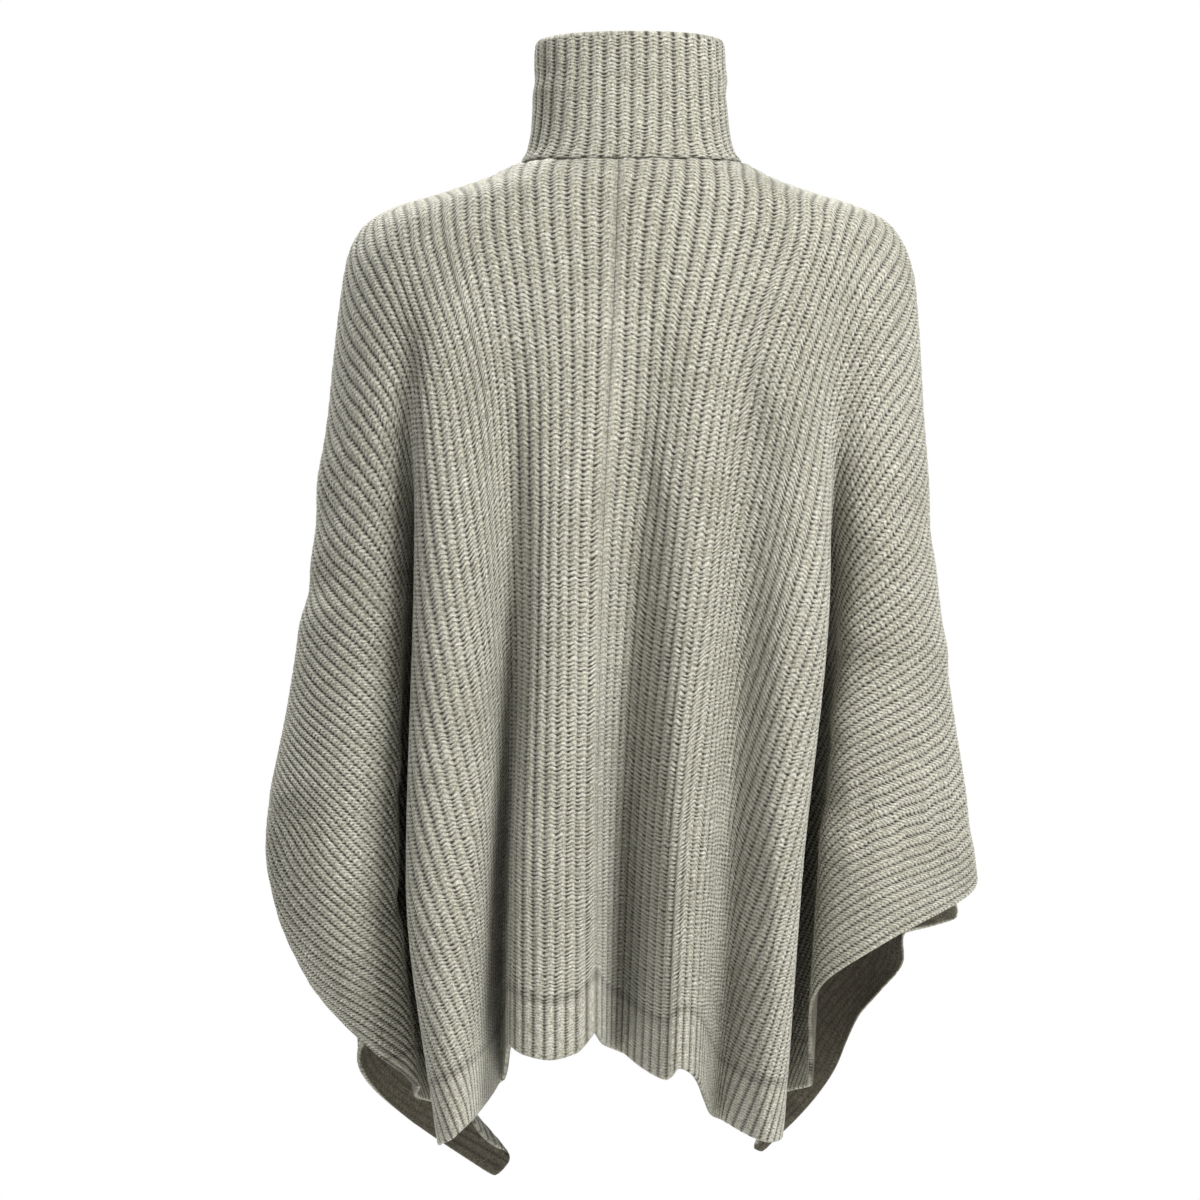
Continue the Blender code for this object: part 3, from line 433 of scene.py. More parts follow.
# The middle of the back is stretched, and the columns of its ribs stand out less there: by what
# share, across in ribs, and at which depths below the neck
CALM_DEPTH = 0.7
CALM_ACROSS = ((0, 12, 30), (1.0, 1.0, 0.0))
CALM_DOWN = ((150, 300, 600, 700), (0.0, 1.0, 1.0, 0.5))
BAND_ROWS = 1.5               # times as many rows in the plain band above the hem
BAND_STEP = 7.0               # mm, over which the knit changes to the band
HEM_EASE = 7.0                # mm above the hem, where the ribs flatten into its rolled rim
SEAM_TUCK = 1.6               # mm, how deep the cloth dips into a seam
SEAM_TUCK_WIDTH = 3.2         # mm
SEAM_PULL = ((0.35, 2.3, 0.0), (0.25, 5.1, 1.0))   # how much, how often and where it is uneven
SEAM_SINK = 0.5               # mm, the column beside the centre back seam lies as much lower
CALM_EDGE = 12.0              # mm from an edge, where creases begin
TOP_EASE = 7.0                # mm below a seam, where the ribs reach their full height
BAND_RELIEF = 0.3             # share of the ribs' height that is lost in the hem band
COLLAR_RELIEF = 0.8           # the collar's ribs, as a share of the panels'
COLLAR_EASE = (6.0, 4.0, 0.8)      # mm above its seam, mm below its top, and share lost at the top
INNER_BLEND = (1.6, 40.0)     # mm, how sharp the step is, and how far up the collar it fades in

# The cut of each panel: name, side, face, its width and length in metres and its flat area
PANEL_CUTS = (
    ("back_left", 1, 1, (0.62, 0.76), 0.31),
    ("back_right", -1, 1, (0.62, 0.76), 0.31),
    ("front_left", 1, -1, (0.52, 0.76), 0.235),
    ("front_right", -1, -1, (0.52, 0.76), 0.235),
)

# Ribs from the centre back, and how many mm the hem's notch there cuts away from each
NOTCHES = {
    "back_left": ((0, 1, 2, 3), (16, 9, 2, 0)),
    "back_right": ((0, 1, 2, 3.5), (19, 12, 5, 0)),
}
NO_NOTCH = ((0, 1), (0, 0))
RIB_ACROSS = 8.8              # mm of cloth to a rib of the tables
COLLAR_ACROSS = 1.12          # a rib of the collar's outer face is as much wider
# Soft creases of each piece: across and height of both ends in mm, half width, and how far it
# stands out
CREASES = {
    "back_left": ((28, -46, 120, -40, 9, -1.9), (52, -66, 168, -150, 12, 2.2),
                  (120, -96, 196, -214, 12, -2.2), (24, -190, 58, -330, 10, -1.6),
                  (214, -226, 330, -300, 13, 2.4), (236, -318, 392, -372, 12, -2.6),
                  (330, -470, 470, -520, 13, 2.6), (360, -580, 505, -610, 12, -2.6),
                  (140, -470, 176, -640, 11, -2.0), (24, -430, 40, -610, 9, 1.6)),
    "back_right": ((22, -50, 128, -44, 9, -1.9), (66, -74, 172, -132, 11, -2.0),
                   (96, -128, 150, -250, 12, 2.2), (34, -210, 60, -300, 9, 1.5),
                   (232, -250, 356, -322, 13, -2.4), (292, -372, 420, -404, 12, 2.4),
                   (380, -500, 520, -548, 13, -2.7), (330, -438, 430, -470, 11, 1.9),
                   (118, -430, 140, -600, 10, 1.8), (200, -560, 226, -700, 10, -2.0)),
    "front_left": ((20, -66, 110, -52, 9, -1.8), (58, -96, 160, -190, 12, 2.2),
                   (110, -230, 146, -380, 11, -2.0), (228, -300, 340, -362, 12, 2.4),
                   (300, -470, 420, -520, 12, -2.5), (60, -440, 78, -600, 10, 1.8)),
    "front_right": ((24, -62, 118, -56, 9, -1.8), (70, -110, 170, -176, 12, -2.1),
                    (96, -260, 130, -410, 11, 2.0), (214, -270, 330, -340, 12, -2.4),
                    (310, -430, 440, -486, 12, 2.5), (80, -480, 96, -640, 10, -1.9)),
    "collar": ((150, 66, 250, 60, 7, 1.2), (215, 70, 330, 64, 8, 1.1), (60, 62, 140, 70, 7, -1.0),
               (252, 84, 282, 50, 6, -1.0), (330, 20, 420, 34, 7, 1.2), (30, 30, 96, 22, 7, -1.1)),
}

# Stitches in the material
PULL_SCALE = 2.0
PULL = (0.45, 0.5, 0.0)       # ribs and rows that a stitch is pulled aside
STITCH_DEPTH = 0.0011         # m, from the top of a strand down to the hole beside it
FIBRE_TUFT = 0.0017           # m, size of a tuft of one fibre colour, drawn as coarse as it shows
YARN_PATCH = 0.06             # m, where the yarn runs a little paler or darker
HOLE_SHADE = 0.88             # how dark the painted shade in a hole is
BAND_QUIET = 0.8              # how plain the hem band is, beside the reverse
PLAIN_HOLES = 0.45            # depth of the holes where the knit is plain
UNEVEN_HOLES = (0.55, 1.15)   # shallowest and deepest stitch
MELANGE_START = -0.35         # shade of the yarn, to which these shares are added:
MELANGE_SHARES = (0.3, 1.0, 0.4)   # each stitch, each tuft of fibre, each patch of the yarn
REVERSE_FROM = (0.3, 0.8)     # where on the rim the face's colour turns into the reverse's
COLUMN_FURROW = 0.35          # more painted furrow shade where the rib's columns stand out
SEAM_SHADE = 0.25             # painted shade on the sunken column beside the centre back seam
STEP_SHADE = 1.1              # how dark the painted shade along the step above the hem band is
FIBRE_HEIGHT = 0.35           # height of the fibres, as a share of a stitch's
# from a furrow (0) to a crest (1): rows that a strand climbs, plain painted shade
CLIMB_ACROSS_RIB = ((0.0, 0.0), (0.25, 0.08), (0.75, 0.42), (1.0, 0.5))
# holes' depth across a rib, for bump and painted shade: they lie to one side of its crest
HOLES_ACROSS_RIB = ((0.0, 0.95), (0.2, 0.6), (0.45, 0.5), (0.6, 0.85), (0.75, 1.0), (1.0, 0.95))
HOLES_ACROSS_COLUMN = ((0.0, 1.0), (0.1, 0.85), (0.22, 0.5), (0.35, 0.42), (0.44, 0.7),
                       (0.5, 0.9), (0.56, 0.7), (0.65, 0.42), (0.78, 0.5), (0.9, 0.85),
                       (1.0, 1.0))
# painted shade across a rib, from a furrow (0) to a crest (1)
SHADE_ACROSS_RIB = ((0.0, 0.34), (0.3, 0.14), (0.6, 0.02), (1.0, 0.0))
TAPE_THREAD = 0.0006          # m
TAPE_DARK, TAPE_LIGHT = "#8E8B7C", "#A5A293"
NICKEL_DARK, NICKEL_LIGHT = "#A9A59C", "#C9C6BE"


def linear(code):
    """Linear colour from an sRGB hex code."""
    parts = [int(code[i:i + 2], 16) / 255 for i in (1, 3, 5)]
    return tuple(c / 12.92 if c <= 0.04045 else ((c + 0.055) / 1.055) ** 2.4 for c in parts)


def rib_number(place, z, side, face):
    """The knit's own rib number for a rib in the tables, at height z.

    The sleeves hold more ribs than the tables have there, and ribs slant across the tails.
    """
    if face < 0:
        return np.where(place < FRONT_FULL_RIBS, place,
                        FRONT_FULL_RIBS + (place - FRONT_FULL_RIBS) * FRONT_RIB_SHARE)
    heights, sleeve, slant, ramp_from, ramp_to = zip(*RIB_SHIFTS[side])
    sleeve, slant, ramp_from, ramp_to = (
        at_height(z.ravel(), heights, column).reshape(z.shape)
        for column in (sleeve, slant, ramp_from, ramp_to))
    beyond = SLEEVE_SOFT * np.logaddexp(0.0, (place - sleeve) / SLEEVE_SOFT)
    ramp = np.clip((place - ramp_from) / (ramp_to - ramp_from), 0.0, 1.0)
    return place + SLEEVE_RIBS[side] * beyond + slant * ramp * ramp * (3 - 2 * ramp)


def fine_ribs(face):
    """Places of the mesh columns, RIB_STEPS to each of the knit's ribs."""
    full, share = (BACK_FULL_RIBS, BACK_RIB_SHARE) if face > 0 else (FRONT_FULL_RIBS,
                                                                     FRONT_RIB_SHARE)
    last = full + (RIBS_PER_HALF - full) * share
    count = INNER_STEP * math.ceil(last * RIB_STEPS / INNER_STEP)
    shown = np.linspace(0, last, count + 1)
    if face > 0:
        shown[0] = SHOWN_GAP
    return np.where(shown < full, shown, full + (shown - full) / share)


def rib_profile(rib):
    """1 on the crest of a rib and -1 in the furrow beside it; the crest is the broader."""
    off_crest = np.abs(rib - np.floor(rib) - 0.5) * 2
    return 1 - 2 * off_crest ** 2.2


def lengths(points):
    """Distance along axis 1 of a grid of points, from its first row."""
    steps = np.linalg.norm(np.diff(points, axis=1), axis=2)
    return np.concatenate([np.zeros((len(points), 1)), np.cumsum(steps, axis=1)], axis=1)


def edge_distances(points):
    """Distance of every point of a grid from its first row and its first column, in mm."""
    from_top = lengths(points) / MM
    from_side = lengths(points.transpose(1, 0, 2)).T / MM
    return from_top, from_side


def rows_up_to(height):
    """Height above the hem as it would be if no row of stitches were shorter than the tallest."""
    marks = np.arange(0.0, ROW_STRETCH[0][-1] + ROW_STEP, ROW_STEP)
    counted = np.concatenate([[0], np.cumsum(ROW_STEP / np.interp(marks[:-1], *ROW_STRETCH))])
    return np.interp(height, marks, counted)


def seam_dip(distance, rib):
    """Depth of the tuck beside a seam, which is pulled unevenly from stitch to stitch."""
    pull = 1 + sum(much * np.sin(often * rib + start) for much, often, start in SEAM_PULL)
    return SEAM_TUCK * pull * np.exp(-(distance / (SEAM_TUCK_WIDTH * pull)) ** 2)


def creases(name, across, height):
    """How far the piece's soft creases lift the cloth, in mm."""
    lift = 0.0 * across
    for across_1, height_1, across_2, height_2, wide, high in CREASES[name]:
        run = np.array((across_2 - across_1, height_2 - height_1))
        run_length = np.linalg.norm(run)
        along, off = ((across - across_1) * run[0] + (height - height_1) * run[1],
                      (across - across_1) * run[1] - (height - height_1) * run[0])
        along, off = along / run_length ** 2, off / run_length / wide
        fade = np.sin(np.pi * np.clip(along, 0, 1)) ** 0.8
        lift += high * fade * (np.exp(-off ** 2) - 0.5 * np.exp(-(off - 1.7) ** 2))
    return lift


def added(name, data):
    """A new object in the scene."""
    made = bpy.data.objects.new(name, data)
    bpy.context.scene.collection.objects.link(made)
    return made


def mesh_of(name, vertices, faces, edges=()):
    mesh = bpy.data.meshes.new(name)
    mesh.from_pydata(vertices, edges, faces)
    return mesh


def turn_outward(mesh):
    """Turn every face of a closed mesh to the outside."""
    work = bmesh.new()
    work.from_mesh(mesh)
    bmesh.ops.recalc_face_normals(work, faces=work.faces[:])
    work.to_mesh(mesh)
    work.free()


def edge_loop(columns, rows):
    """Columns and rows of the points round the edge of a grid, in order."""
    i = [*range(columns), *[columns - 1] * (rows - 2), *range(columns - 1, -1, -1),
         *[0] * (rows - 2)]
    j = [*[0] * columns, *range(1, rows - 1), *[rows - 1] * columns, *range(rows - 2, 0, -1)]
    return np.array(i), np.array(j)


def edge_directions(grid, bulge):
    """How far each edge point's rim stands out; bulge is its share at top, last, low, first."""
    out = np.zeros_like(grid)
    count = np.zeros(grid.shape[:2])
    edges = (((slice(None), 0), (slice(None), 1)), ((-1, slice(None)), (-2, slice(None))),
             ((slice(None), -1), (slice(None), -2)), ((0, slice(None)), (1, slice(None))))
    for (edge, within), share in zip(edges, bulge):
        away = grid[edge] - grid[within]
        out[edge] += share * away / np.maximum(np.linalg.norm(away, axis=1, keepdims=True), 1e-9)
        count[edge] += 1
    return out / np.maximum(count, 1)[..., None]


def knit_mesh(name, outer, inner, bulge, uv, marks):
    """Closed cloth between two grids of points, with a rounded rim and a coarser inner face.

    uv holds the rib and row numbers, and marks is a dict of numbers that the material reads.
    """
    columns, rows = outer.shape[:2]
    coarse = inner[::INNER_STEP, ::INNER_STEP]
    i, j = edge_loop(columns, rows)
    half = 0.5 * (outer - inner)[i, j]
    middle = 0.5 * (outer + inner)[i, j]
    reach = edge_directions(outer, bulge)[i, j] * np.linalg.norm(half, axis=1, keepdims=True)
    rims = [middle + math.cos(math.pi * turn) * half + math.sin(math.pi * turn) * reach
            for turn in RIM_TURNS]
    vertices = np.concatenate([outer.reshape(-1, 3), *rims, coarse.reshape(-1, 3)])

    def quads(start, wide, high):
        cell = start + (np.arange(wide - 1)[:, None] * high + np.arange(high - 1)).ravel()
        return np.stack([cell, cell + 1, cell + high + 1, cell + high], axis=1).tolist()

    loop = len(i)
    ring = [i * rows + j] + [columns * rows + k * loop + np.arange(loop) for k in range(len(rims))]
    first_inner = columns * rows + len(rims) * loop
    wide, high = coarse.shape[:2]
    faces = quads(0, columns, rows) + quads(first_inner, wide, high)
    for near, far in zip(ring, ring[1:]):
        faces += np.stack([near, np.roll(near, -1), np.roll(far, -1), far], axis=1).tolist()
    # the last rim row meets the coarser inner face, whose corners lie on every third point
    corner = [k for k in range(loop) if i[k] % INNER_STEP == 0 and j[k] % INNER_STEP == 0]
    inner_at = [first_inner + i[k] // INNER_STEP * high + j[k] // INNER_STEP for k in corner]
    for k, start in enumerate(corner):
        end = corner[(k + 1) % len(corner)]
        stop = end + 1 if end > start else end + loop + 1
        span = [int(ring[-1][n % loop]) for n in range(start, stop)]
        faces.append(span + [int(inner_at[(k + 1) % len(corner)]), int(inner_at[k])])
    mesh = mesh_of(name, vertices.tolist(), faces)
    turn_outward(mesh)

    def spread(table):
        flat = table.reshape(columns * rows, -1)
        return np.concatenate([flat] + [table[i, j].reshape(loop, -1)] * len(rims)
                              + [table[::INNER_STEP, ::INNER_STEP].reshape(wide * high, -1)])

    corners = np.empty(len(mesh.loops), dtype=np.int32)
    mesh.loops.foreach_get("vertex_index", corners)
    mesh.uv_layers.new(name="knit").data.foreach_set("uv", spread(uv)[corners].ravel())
    inside = np.concatenate([np.zeros(columns * rows)]
                            + [np.full(loop, turn) for turn in RIM_TURNS]
                            + [np.ones(wide * high)])
    for word, values in {**{key: spread(table)[:, 0] for key, table in marks.items()},
                         "inside": inside}.items():
        mesh.attributes.new(word, "FLOAT", "POINT").data.foreach_set("value", values)
    mesh.polygons.foreach_set("use_smooth", [True] * len(mesh.polygons))
    return added(name, mesh)


def knit_panel(name, side, face, sizes):
    """One of the four panels, with its ribs in relief."""
    rows = PANEL_ROWS[face] // INNER_STEP * INNER_STEP + 1
    place_in = fine_ribs(face)
    z = along_ribs(place_in, rows, side, face, HEM[name])
    place = place_of(place_in[:, None], z, side, face)
    points = cloth(place, z, side)
    normals = outward(place, z, side)
    rib = rib_number(place_in[:, None] + 0 * z, z, side, face)
    crowded = np.gradient(rib, place_in, axis=0)
    from_top, from_side = edge_distances(points)
    up = (lengths(points)[:, -1:] / MM) - from_top
    across = place_in[:, None] * RIB_ACROSS + 0 * z
    calm = 1 - np.exp(-(np.minimum(from_top, from_side) / CALM_EDGE) ** 2)
    points = points + (creases(name, across, z) * calm)[..., None] * MM * normals
    seam = 0 * z
    if face > 0:
        seam = 1 - np.clip((from_side - CENTRE_SEAM[0]) / np.ptp(CENTRE_SEAM), 0.0, 1.0)
    band = np.clip((sizes.band_height / MM - up) / BAND_STEP + 0.5, 0.0, 1.0)
    ease = (1 - np.exp(-(from_top / TOP_EASE) ** 2)) * (1 - np.exp(-(up / HEM_EASE) ** 2))
    ease *= (1 - BAND_RELIEF * band) * np.clip(CROWDED_RIBS - crowded, 0.0, 1.0)
    relief = sizes.rib_relief / MM * rib_profile(rib) * ease * (1 - seam) - SEAM_SINK * seam
    relief -= seam_dip(from_top, rib)
    outer = points + relief[..., None] * MM * normals
    inner = points - WALL * MM * normals
    notch = np.interp(place_in, *NOTCHES.get(name, NO_NOTCH))[:, None]
    notch = notch * (1 - np.exp(-(up / NOTCH_FADE) ** 2))
    band_top = sizes.band_height / MM
    up_rows = rows_up_to(up + notch) + (BAND_ROWS - 1) * np.minimum(up - band_top, 0.0)
    uv = np.stack([rib, up_rows * MM / sizes.row_pitch], axis=-1)
    free = (0.0, 1.0, 1.0, 0.0 if face > 0 else 0.5)
    column = 1 - CALM_DEPTH * (np.interp(place_in, *CALM_ACROSS)[:, None]
                               * np.interp(-z, *CALM_DOWN)) * (face > 0)
    return knit_mesh(name + "_knit", outer, inner, free, uv,
                     {"band": band, "seam": seam, "column": column})


def neck_ring(steps=100):
    """Points of the neckline in mm, from the left front edge round the back to the right one."""
    halves = []
    for side in (1, -1):
        pieces = []
        for face in (-1, 1):
            ribs = np.linspace(0, float(arm_line(0, side, 3)), steps)
            z = top_of(ribs, side, face)
            pieces.append(cloth(place_of(ribs, z, side, face), z, side) / MM)
        halves.append(np.concatenate([pieces[0], pieces[1][-2::-1]]))
    left, right = halves
    left[-1, 0] = right[-1, 0] = 0.5 * (left[-1, 0] + right[-1, 0])
    return np.concatenate([left, right[-2::-1]])


def collar_outline(base):
    """Top of the collar over each point of the neckline."""
    half_width, half_back, half_front = NECK_HALF
    half_depth = np.where(base[:, 1] > 0, half_back, half_front)
    angle = np.arctan2(base[:, 0] / half_width, base[:, 1] / half_depth)
    round_x, round_y = (np.sign(part) * np.abs(part) ** (2 / COLLAR_ROUND)
                        for part in (np.sin(angle), np.cos(angle)))
    shift = COLLAR_SHIFT * np.cos(angle / 2)
    top = np.stack([COLLAR_HALF[0] * round_x - shift, COLLAR_HALF[1] * round_y,
                    0 * angle + COLLAR_TOP], axis=1)
    top[0, 0], top[-1, 0] = ZIP_EDGE, -ZIP_EDGE
    return top


def grid_normals(grid):
    """Normals of a grid of points, level at its upper edge and plain across its two ends."""
    across = np.gradient(grid, axis=0)
    down = np.gradient(grid, axis=1)
    down[:, 0] = (0, 0, -1)
    normal = np.cross(across, down)
    normal[[0, -1], :, 0] = 0
    normal /= np.linalg.norm(normal, axis=-1, keepdims=True)
    return normal * np.sign((normal * grid)[..., :2].sum(axis=-1))[..., None]


def collar_surface():
    """Fine grid of the collar's outer face, its columns evenly spaced round the top."""
    base = neck_ring()
    top = collar_outline(base)
    round_top = np.concatenate([[0], np.cumsum(np.linalg.norm(np.diff(top, axis=0), axis=1))])
    columns = INNER_STEP * (COLLAR_RIBS * RIB_STEPS // INNER_STEP) + 1
    even = np.linspace(0, round_top[-1], columns)
    base, top = (np.stack([np.interp(even, round_top, ring[:, k]) for k in range(3)], axis=1)
                 for ring in (base, top))
    share = np.linspace(1, 0, COLLAR_ROWS)
    flare = smooth(share, *zip(*COLLAR_FLARE))[0]
    grid = top[:, None] + flare[:, None] * (base - top)[:, None]
    low = base[:, None, 2] + SEAM_GAP
    grid[..., 2] = low + share * (COLLAR_TOP - low)
    grid[0, :, 0], grid[-1, :, 0] = ZIP_EDGE, -ZIP_EDGE
    return grid * MM


def knit_collar(sizes):
    """The funnel collar, folded double, with its ribs in relief."""
    points = collar_surface()
    normals = grid_normals(points)
    rib = np.broadcast_to(np.linspace(0, COLLAR_RIBS, len(points))[:, None], points.shape[:2])
    from_top = lengths(points) / MM
    up = from_top[:, -1:] - from_top
    low_ease, top_ease, top_loss = COLLAR_EASE
    ease = 1 - np.exp(-(up / low_ease) ** 2)
    ease = ease * (1 - top_loss * np.exp(-(from_top / top_ease) ** 2))
    across, height = rib * RIB_ACROSS * COLLAR_ACROSS, points[..., 2] / MM
    edge = INNER_EDGE[0] + INNER_EDGE[1] * np.sin(across / INNER_EDGE[2])
    lift = creases("collar", across, height)
    lift += (INNER_LIFT / (1 + np.exp((height - edge) / INNER_BLEND[0]))
             * np.clip(up / INNER_BLEND[1], 0.0, 1.0)
             * normals[..., 1] ** 2)
    points = points + lift[..., None] * MM * normals
    relief = COLLAR_RELIEF * sizes.rib_relief / MM * rib_profile(rib) * ease
    relief = relief - seam_dip(up, rib + 0.7)
    outer = points + relief[..., None] * MM * normals
    inner = points - COLLAR_WALL * MM * normals
    inner[:, -1, 2] = points[:, -1, 2]
    uv = np.stack([rib, up / COLLAR_ROW_PITCH], axis=-1)
    return knit_mesh("collar_knit", outer, inner, (1.0, 0.6, 0.0, 0.6), uv,
                     {"band": 0 * rib, "seam": 0 * rib, "column": 0 * rib + 1})


# Materials

def node(tree, kind, inputs=None, **settings):
    """Add a node with its settings; an input takes a value, a socket, or a node's first output."""
    made = tree.nodes.new(kind)
    for key, value in settings.items():
        setattr(made, key, value)
    for key, value in (inputs or {}).items():
        if isinstance(value, bpy.types.Node):
            value = value.outputs[0]
        if isinstance(value, bpy.types.NodeSocket):
            tree.links.new(value, made.inputs[key])
        else:
            made.inputs[key].default_value = value
    return made


def blank_material(name):
    material = bpy.data.materials.new(name)
    material.use_nodes = True
    material.node_tree.nodes.clear()
    return material, material.node_tree


def shape_curve(curve_node, points):
    """Set the points of a curve node, each a place and a value, and return the node."""
    curve = curve_node.mapping.curves[0]
    curve.points[0].location = points[0]
    curve.points[1].location = points[-1]
    for point in points[1:-1]:
        curve.points.new(*point)
    curve_node.mapping.update()
    return curve_node


def half_cardigan_wool(sizes):
    """Melange wool, half-cardigan rib: fat uneven stitches, painted shade in the holes between.

    Painted shade darkens the furrow beside each rib's crest. The strands of a row climb to
    each crest and fall to each furrow, and no two stitches are alike. The reverse is flatter
    and browner, and its colours are darkened further as painted shade of the garment's inside.
    """
    material, tree = blank_material("half_cardigan_wool")
    knit = node(tree, "ShaderNodeUVMap", uv_map="knit")
    band, inside, seam, column = (
        node(tree, "ShaderNodeAttribute", attribute_name=word).outputs["Fac"]
        for word in ("band", "inside", "seam", "column"))
    place = node(tree, "ShaderNodeTexCoord").outputs["Object"]

    # stitches are pulled about by a fraction of their size, and rows wander over many stitches
    pull = node(tree, "ShaderNodeTexNoise", {"Vector": knit, "Scale": PULL_SCALE, "Detail": 3.0,
                                             "Roughness": 0.65})
    pull = node(tree, "ShaderNodeVectorMath", {0: pull.outputs["Color"], 1: (-0.5, -0.5, -0.5)})
    pulled = node(tree, "ShaderNodeVectorMath", {0: pull, 1: PULL, 2: knit},
                  operation="MULTIPLY_ADD")
    split = node(tree, "ShaderNodeSeparateXYZ", {"Vector": pulled})
    rib, row = split.outputs["X"], split.outputs["Y"]
    wander = node(tree, "ShaderNodeTexNoise", {"Vector": knit, "Scale": 0.22, "Detail": 1.0})
    wander = node(tree, "ShaderNodeMapRange", {"Value": wander, "To Min": -0.9, "To Max": 0.9})
    crest = node(tree, "ShaderNodeMath", {0: rib, 1: 0.5}, operation="PINGPONG")
    crest = node(tree, "ShaderNodeMath", {0: crest, 1: 2.0}, operation="MULTIPLY")
    climb = shape_curve(node(tree, "ShaderNodeFloatCurve", {"Value": crest}), CLIMB_ACROSS_RIB)
    phase = node(tree, "ShaderNodeMath", {0: row, 1: climb}, operation="SUBTRACT")
    phase = node(tree, "ShaderNodeMath", {0: phase, 1: wander}, operation="ADD")
    turn = node(tree, "ShaderNodeMath", {0: phase, 1: 2 * math.pi}, operation="MULTIPLY")
    wave = node(tree, "ShaderNodeMath", {0: turn}, operation="COSINE")
    strand = node(tree, "ShaderNodeMapRange", {"Value": wave, "From Min": -0.95, "From Max": 0.6},
                  interpolation_type="SMOOTHSTEP")

    # each stitch has its own shade and the hole beside it its own depth
    cell = node(tree, "ShaderNodeSeparateXYZ", {"Vector": knit}).outputs["X"]
    cell = node(tree, "ShaderNodeCombineXYZ", {"X": cell, "Y": phase})
    cell = node(tree, "ShaderNodeVectorMath", {0: cell, 1: (2.0, 1.0, 0.0)}, operation="MULTIPLY")
    cell = node(tree, "ShaderNodeVectorMath", {0: cell}, operation="FLOOR")
    stitch = node(tree, "ShaderNodeTexWhiteNoise", {"Vector": cell}, noise_dimensions="2D")

    # the holes are deepest on the flanks of a rib, shallow on its crest, and small in the plain
    # hem band and on the reverse
    across = node(tree, "ShaderNodeMath", {0: rib}, operation="FRACT")
    holes = shape_curve(node(tree, "ShaderNodeFloatCurve", {"Value": across}), HOLES_ACROSS_RIB)
    legs = shape_curve(node(tree, "ShaderNodeFloatCurve", {"Value": across}), HOLES_ACROSS_COLUMN)
    holes = node(tree, "ShaderNodeMix", {0: column, 2: holes, 3: legs})
    plain = node(tree, "ShaderNodeMath", {0: band, 1: BAND_QUIET}, operation="MULTIPLY")
    for mark in (inside, seam):
        plain = node(tree, "ShaderNodeMath", {0: plain, 1: mark}, operation="MAXIMUM")
    quiet = node(tree, "ShaderNodeMapRange", {"Value": plain, "To Min": 1.0,
                                              "To Max": PLAIN_HOLES})
    depth = node(tree, "ShaderNodeMath", {0: holes, 1: quiet}, operation="MULTIPLY")
    uneven = node(tree, "ShaderNodeMapRange", {"Value": stitch, "To Min": UNEVEN_HOLES[0],
                                               "To Max": UNEVEN_HOLES[1]})
    depth = node(tree, "ShaderNodeMath", {0: depth, 1: uneven}, operation="MULTIPLY")
    gap = node(tree, "ShaderNodeMath", {0: 1.0, 1: strand}, operation="SUBTRACT")
    hole = node(tree, "ShaderNodeMath", {0: gap, 1: depth}, operation="MULTIPLY")

    # fibres of two colours are spun together, in tufts, and the yarn runs paler and darker
    fibre = node(tree, "ShaderNodeTexNoise", {"Vector": place, "Scale": 1 / FIBRE_TUFT,
                                              "Detail": 4.0, "Roughness": 0.75})
    fibre = node(tree, "ShaderNodeMapRange", {"Value": fibre, "From Min": 0.34, "From Max": 0.66})
    patch = node(tree, "ShaderNodeTexNoise", {"Vector": place, "Scale": 1 / YARN_PATCH,
                                              "Detail": 2.0})
    melange = MELANGE_START
    for part, share in zip((stitch, fibre, patch), MELANGE_SHARES):
        melange = node(tree, "ShaderNodeMath", {0: part, 1: share, 2: melange},
                       operation="MULTIPLY_ADD")
    melange.use_clamp = True
    # the reverse's colours are browner, and darkened further as painted shade of the garment's
    # inside
    face_yarn, shaded_reverse_yarn = (
        node(tree, "ShaderNodeMix", {0: melange, 6: (*dark, 1), 7: (*light, 1)},
             data_type="RGBA").outputs[2]
        for dark, light in ((sizes.yarn_dark, sizes.yarn_light),
                            (sizes.shaded_reverse_dark, sizes.shaded_reverse_light)))
    reverse = node(tree, "ShaderNodeMapRange", {"Value": inside, "From Min": REVERSE_FROM[0],
                                                "From Max": REVERSE_FROM[1]})
    yarn = node(tree, "ShaderNodeMix", {0: reverse, 6: face_yarn, 7: shaded_reverse_yarn},
                data_type="RGBA")
    # painted shade in the furrows: more in the hem band and where columns stand out
    furrow = shape_curve(node(tree, "ShaderNodeFloatCurve", {"Value": crest}), SHADE_ACROSS_RIB)
    furrow_shade_gain = node(tree, "ShaderNodeMath", {0: band, 1: 1.0, 2: 1.0}, operation="MULTIPLY_ADD")
    furrow_shade_gain = node(tree, "ShaderNodeMath", {0: furrow_shade_gain, 1: seam}, operation="SUBTRACT")
    furrow_shade_gain = node(tree, "ShaderNodeMath", {0: column, 1: COLUMN_FURROW, 2: furrow_shade_gain},
                  operation="MULTIPLY_ADD")
    furrow = node(tree, "ShaderNodeMath", {0: furrow, 1: furrow_shade_gain}, operation="MULTIPLY")
    # painted shade on the sunken column beside the centre back seam
    furrow = node(tree, "ShaderNodeMath", {0: seam, 1: SEAM_SHADE, 2: furrow},
                  operation="MULTIPLY_ADD")
    # painted shade along the shallow step where the band begins
    above = node(tree, "ShaderNodeMath", {0: 1.0, 1: band}, operation="SUBTRACT")
    step = node(tree, "ShaderNodeMath", {0: band, 1: above}, operation="MULTIPLY")
    furrow = node(tree, "ShaderNodeMath", {0: step, 1: STEP_SHADE, 2: furrow},
                  operation="MULTIPLY_ADD")
    # painted shade: the holes, the furrows, the seam column and the band's step darken the yarn
    shade = node(tree, "ShaderNodeMath", {0: hole, 1: HOLE_SHADE, 2: furrow},
                 operation="MULTIPLY_ADD", use_clamp=True)
    colour = node(tree, "ShaderNodeMix", {0: shade, 6: yarn.outputs[2],
                                          7: (*sizes.painted_shade_colour, 1)}, data_type="RGBA")

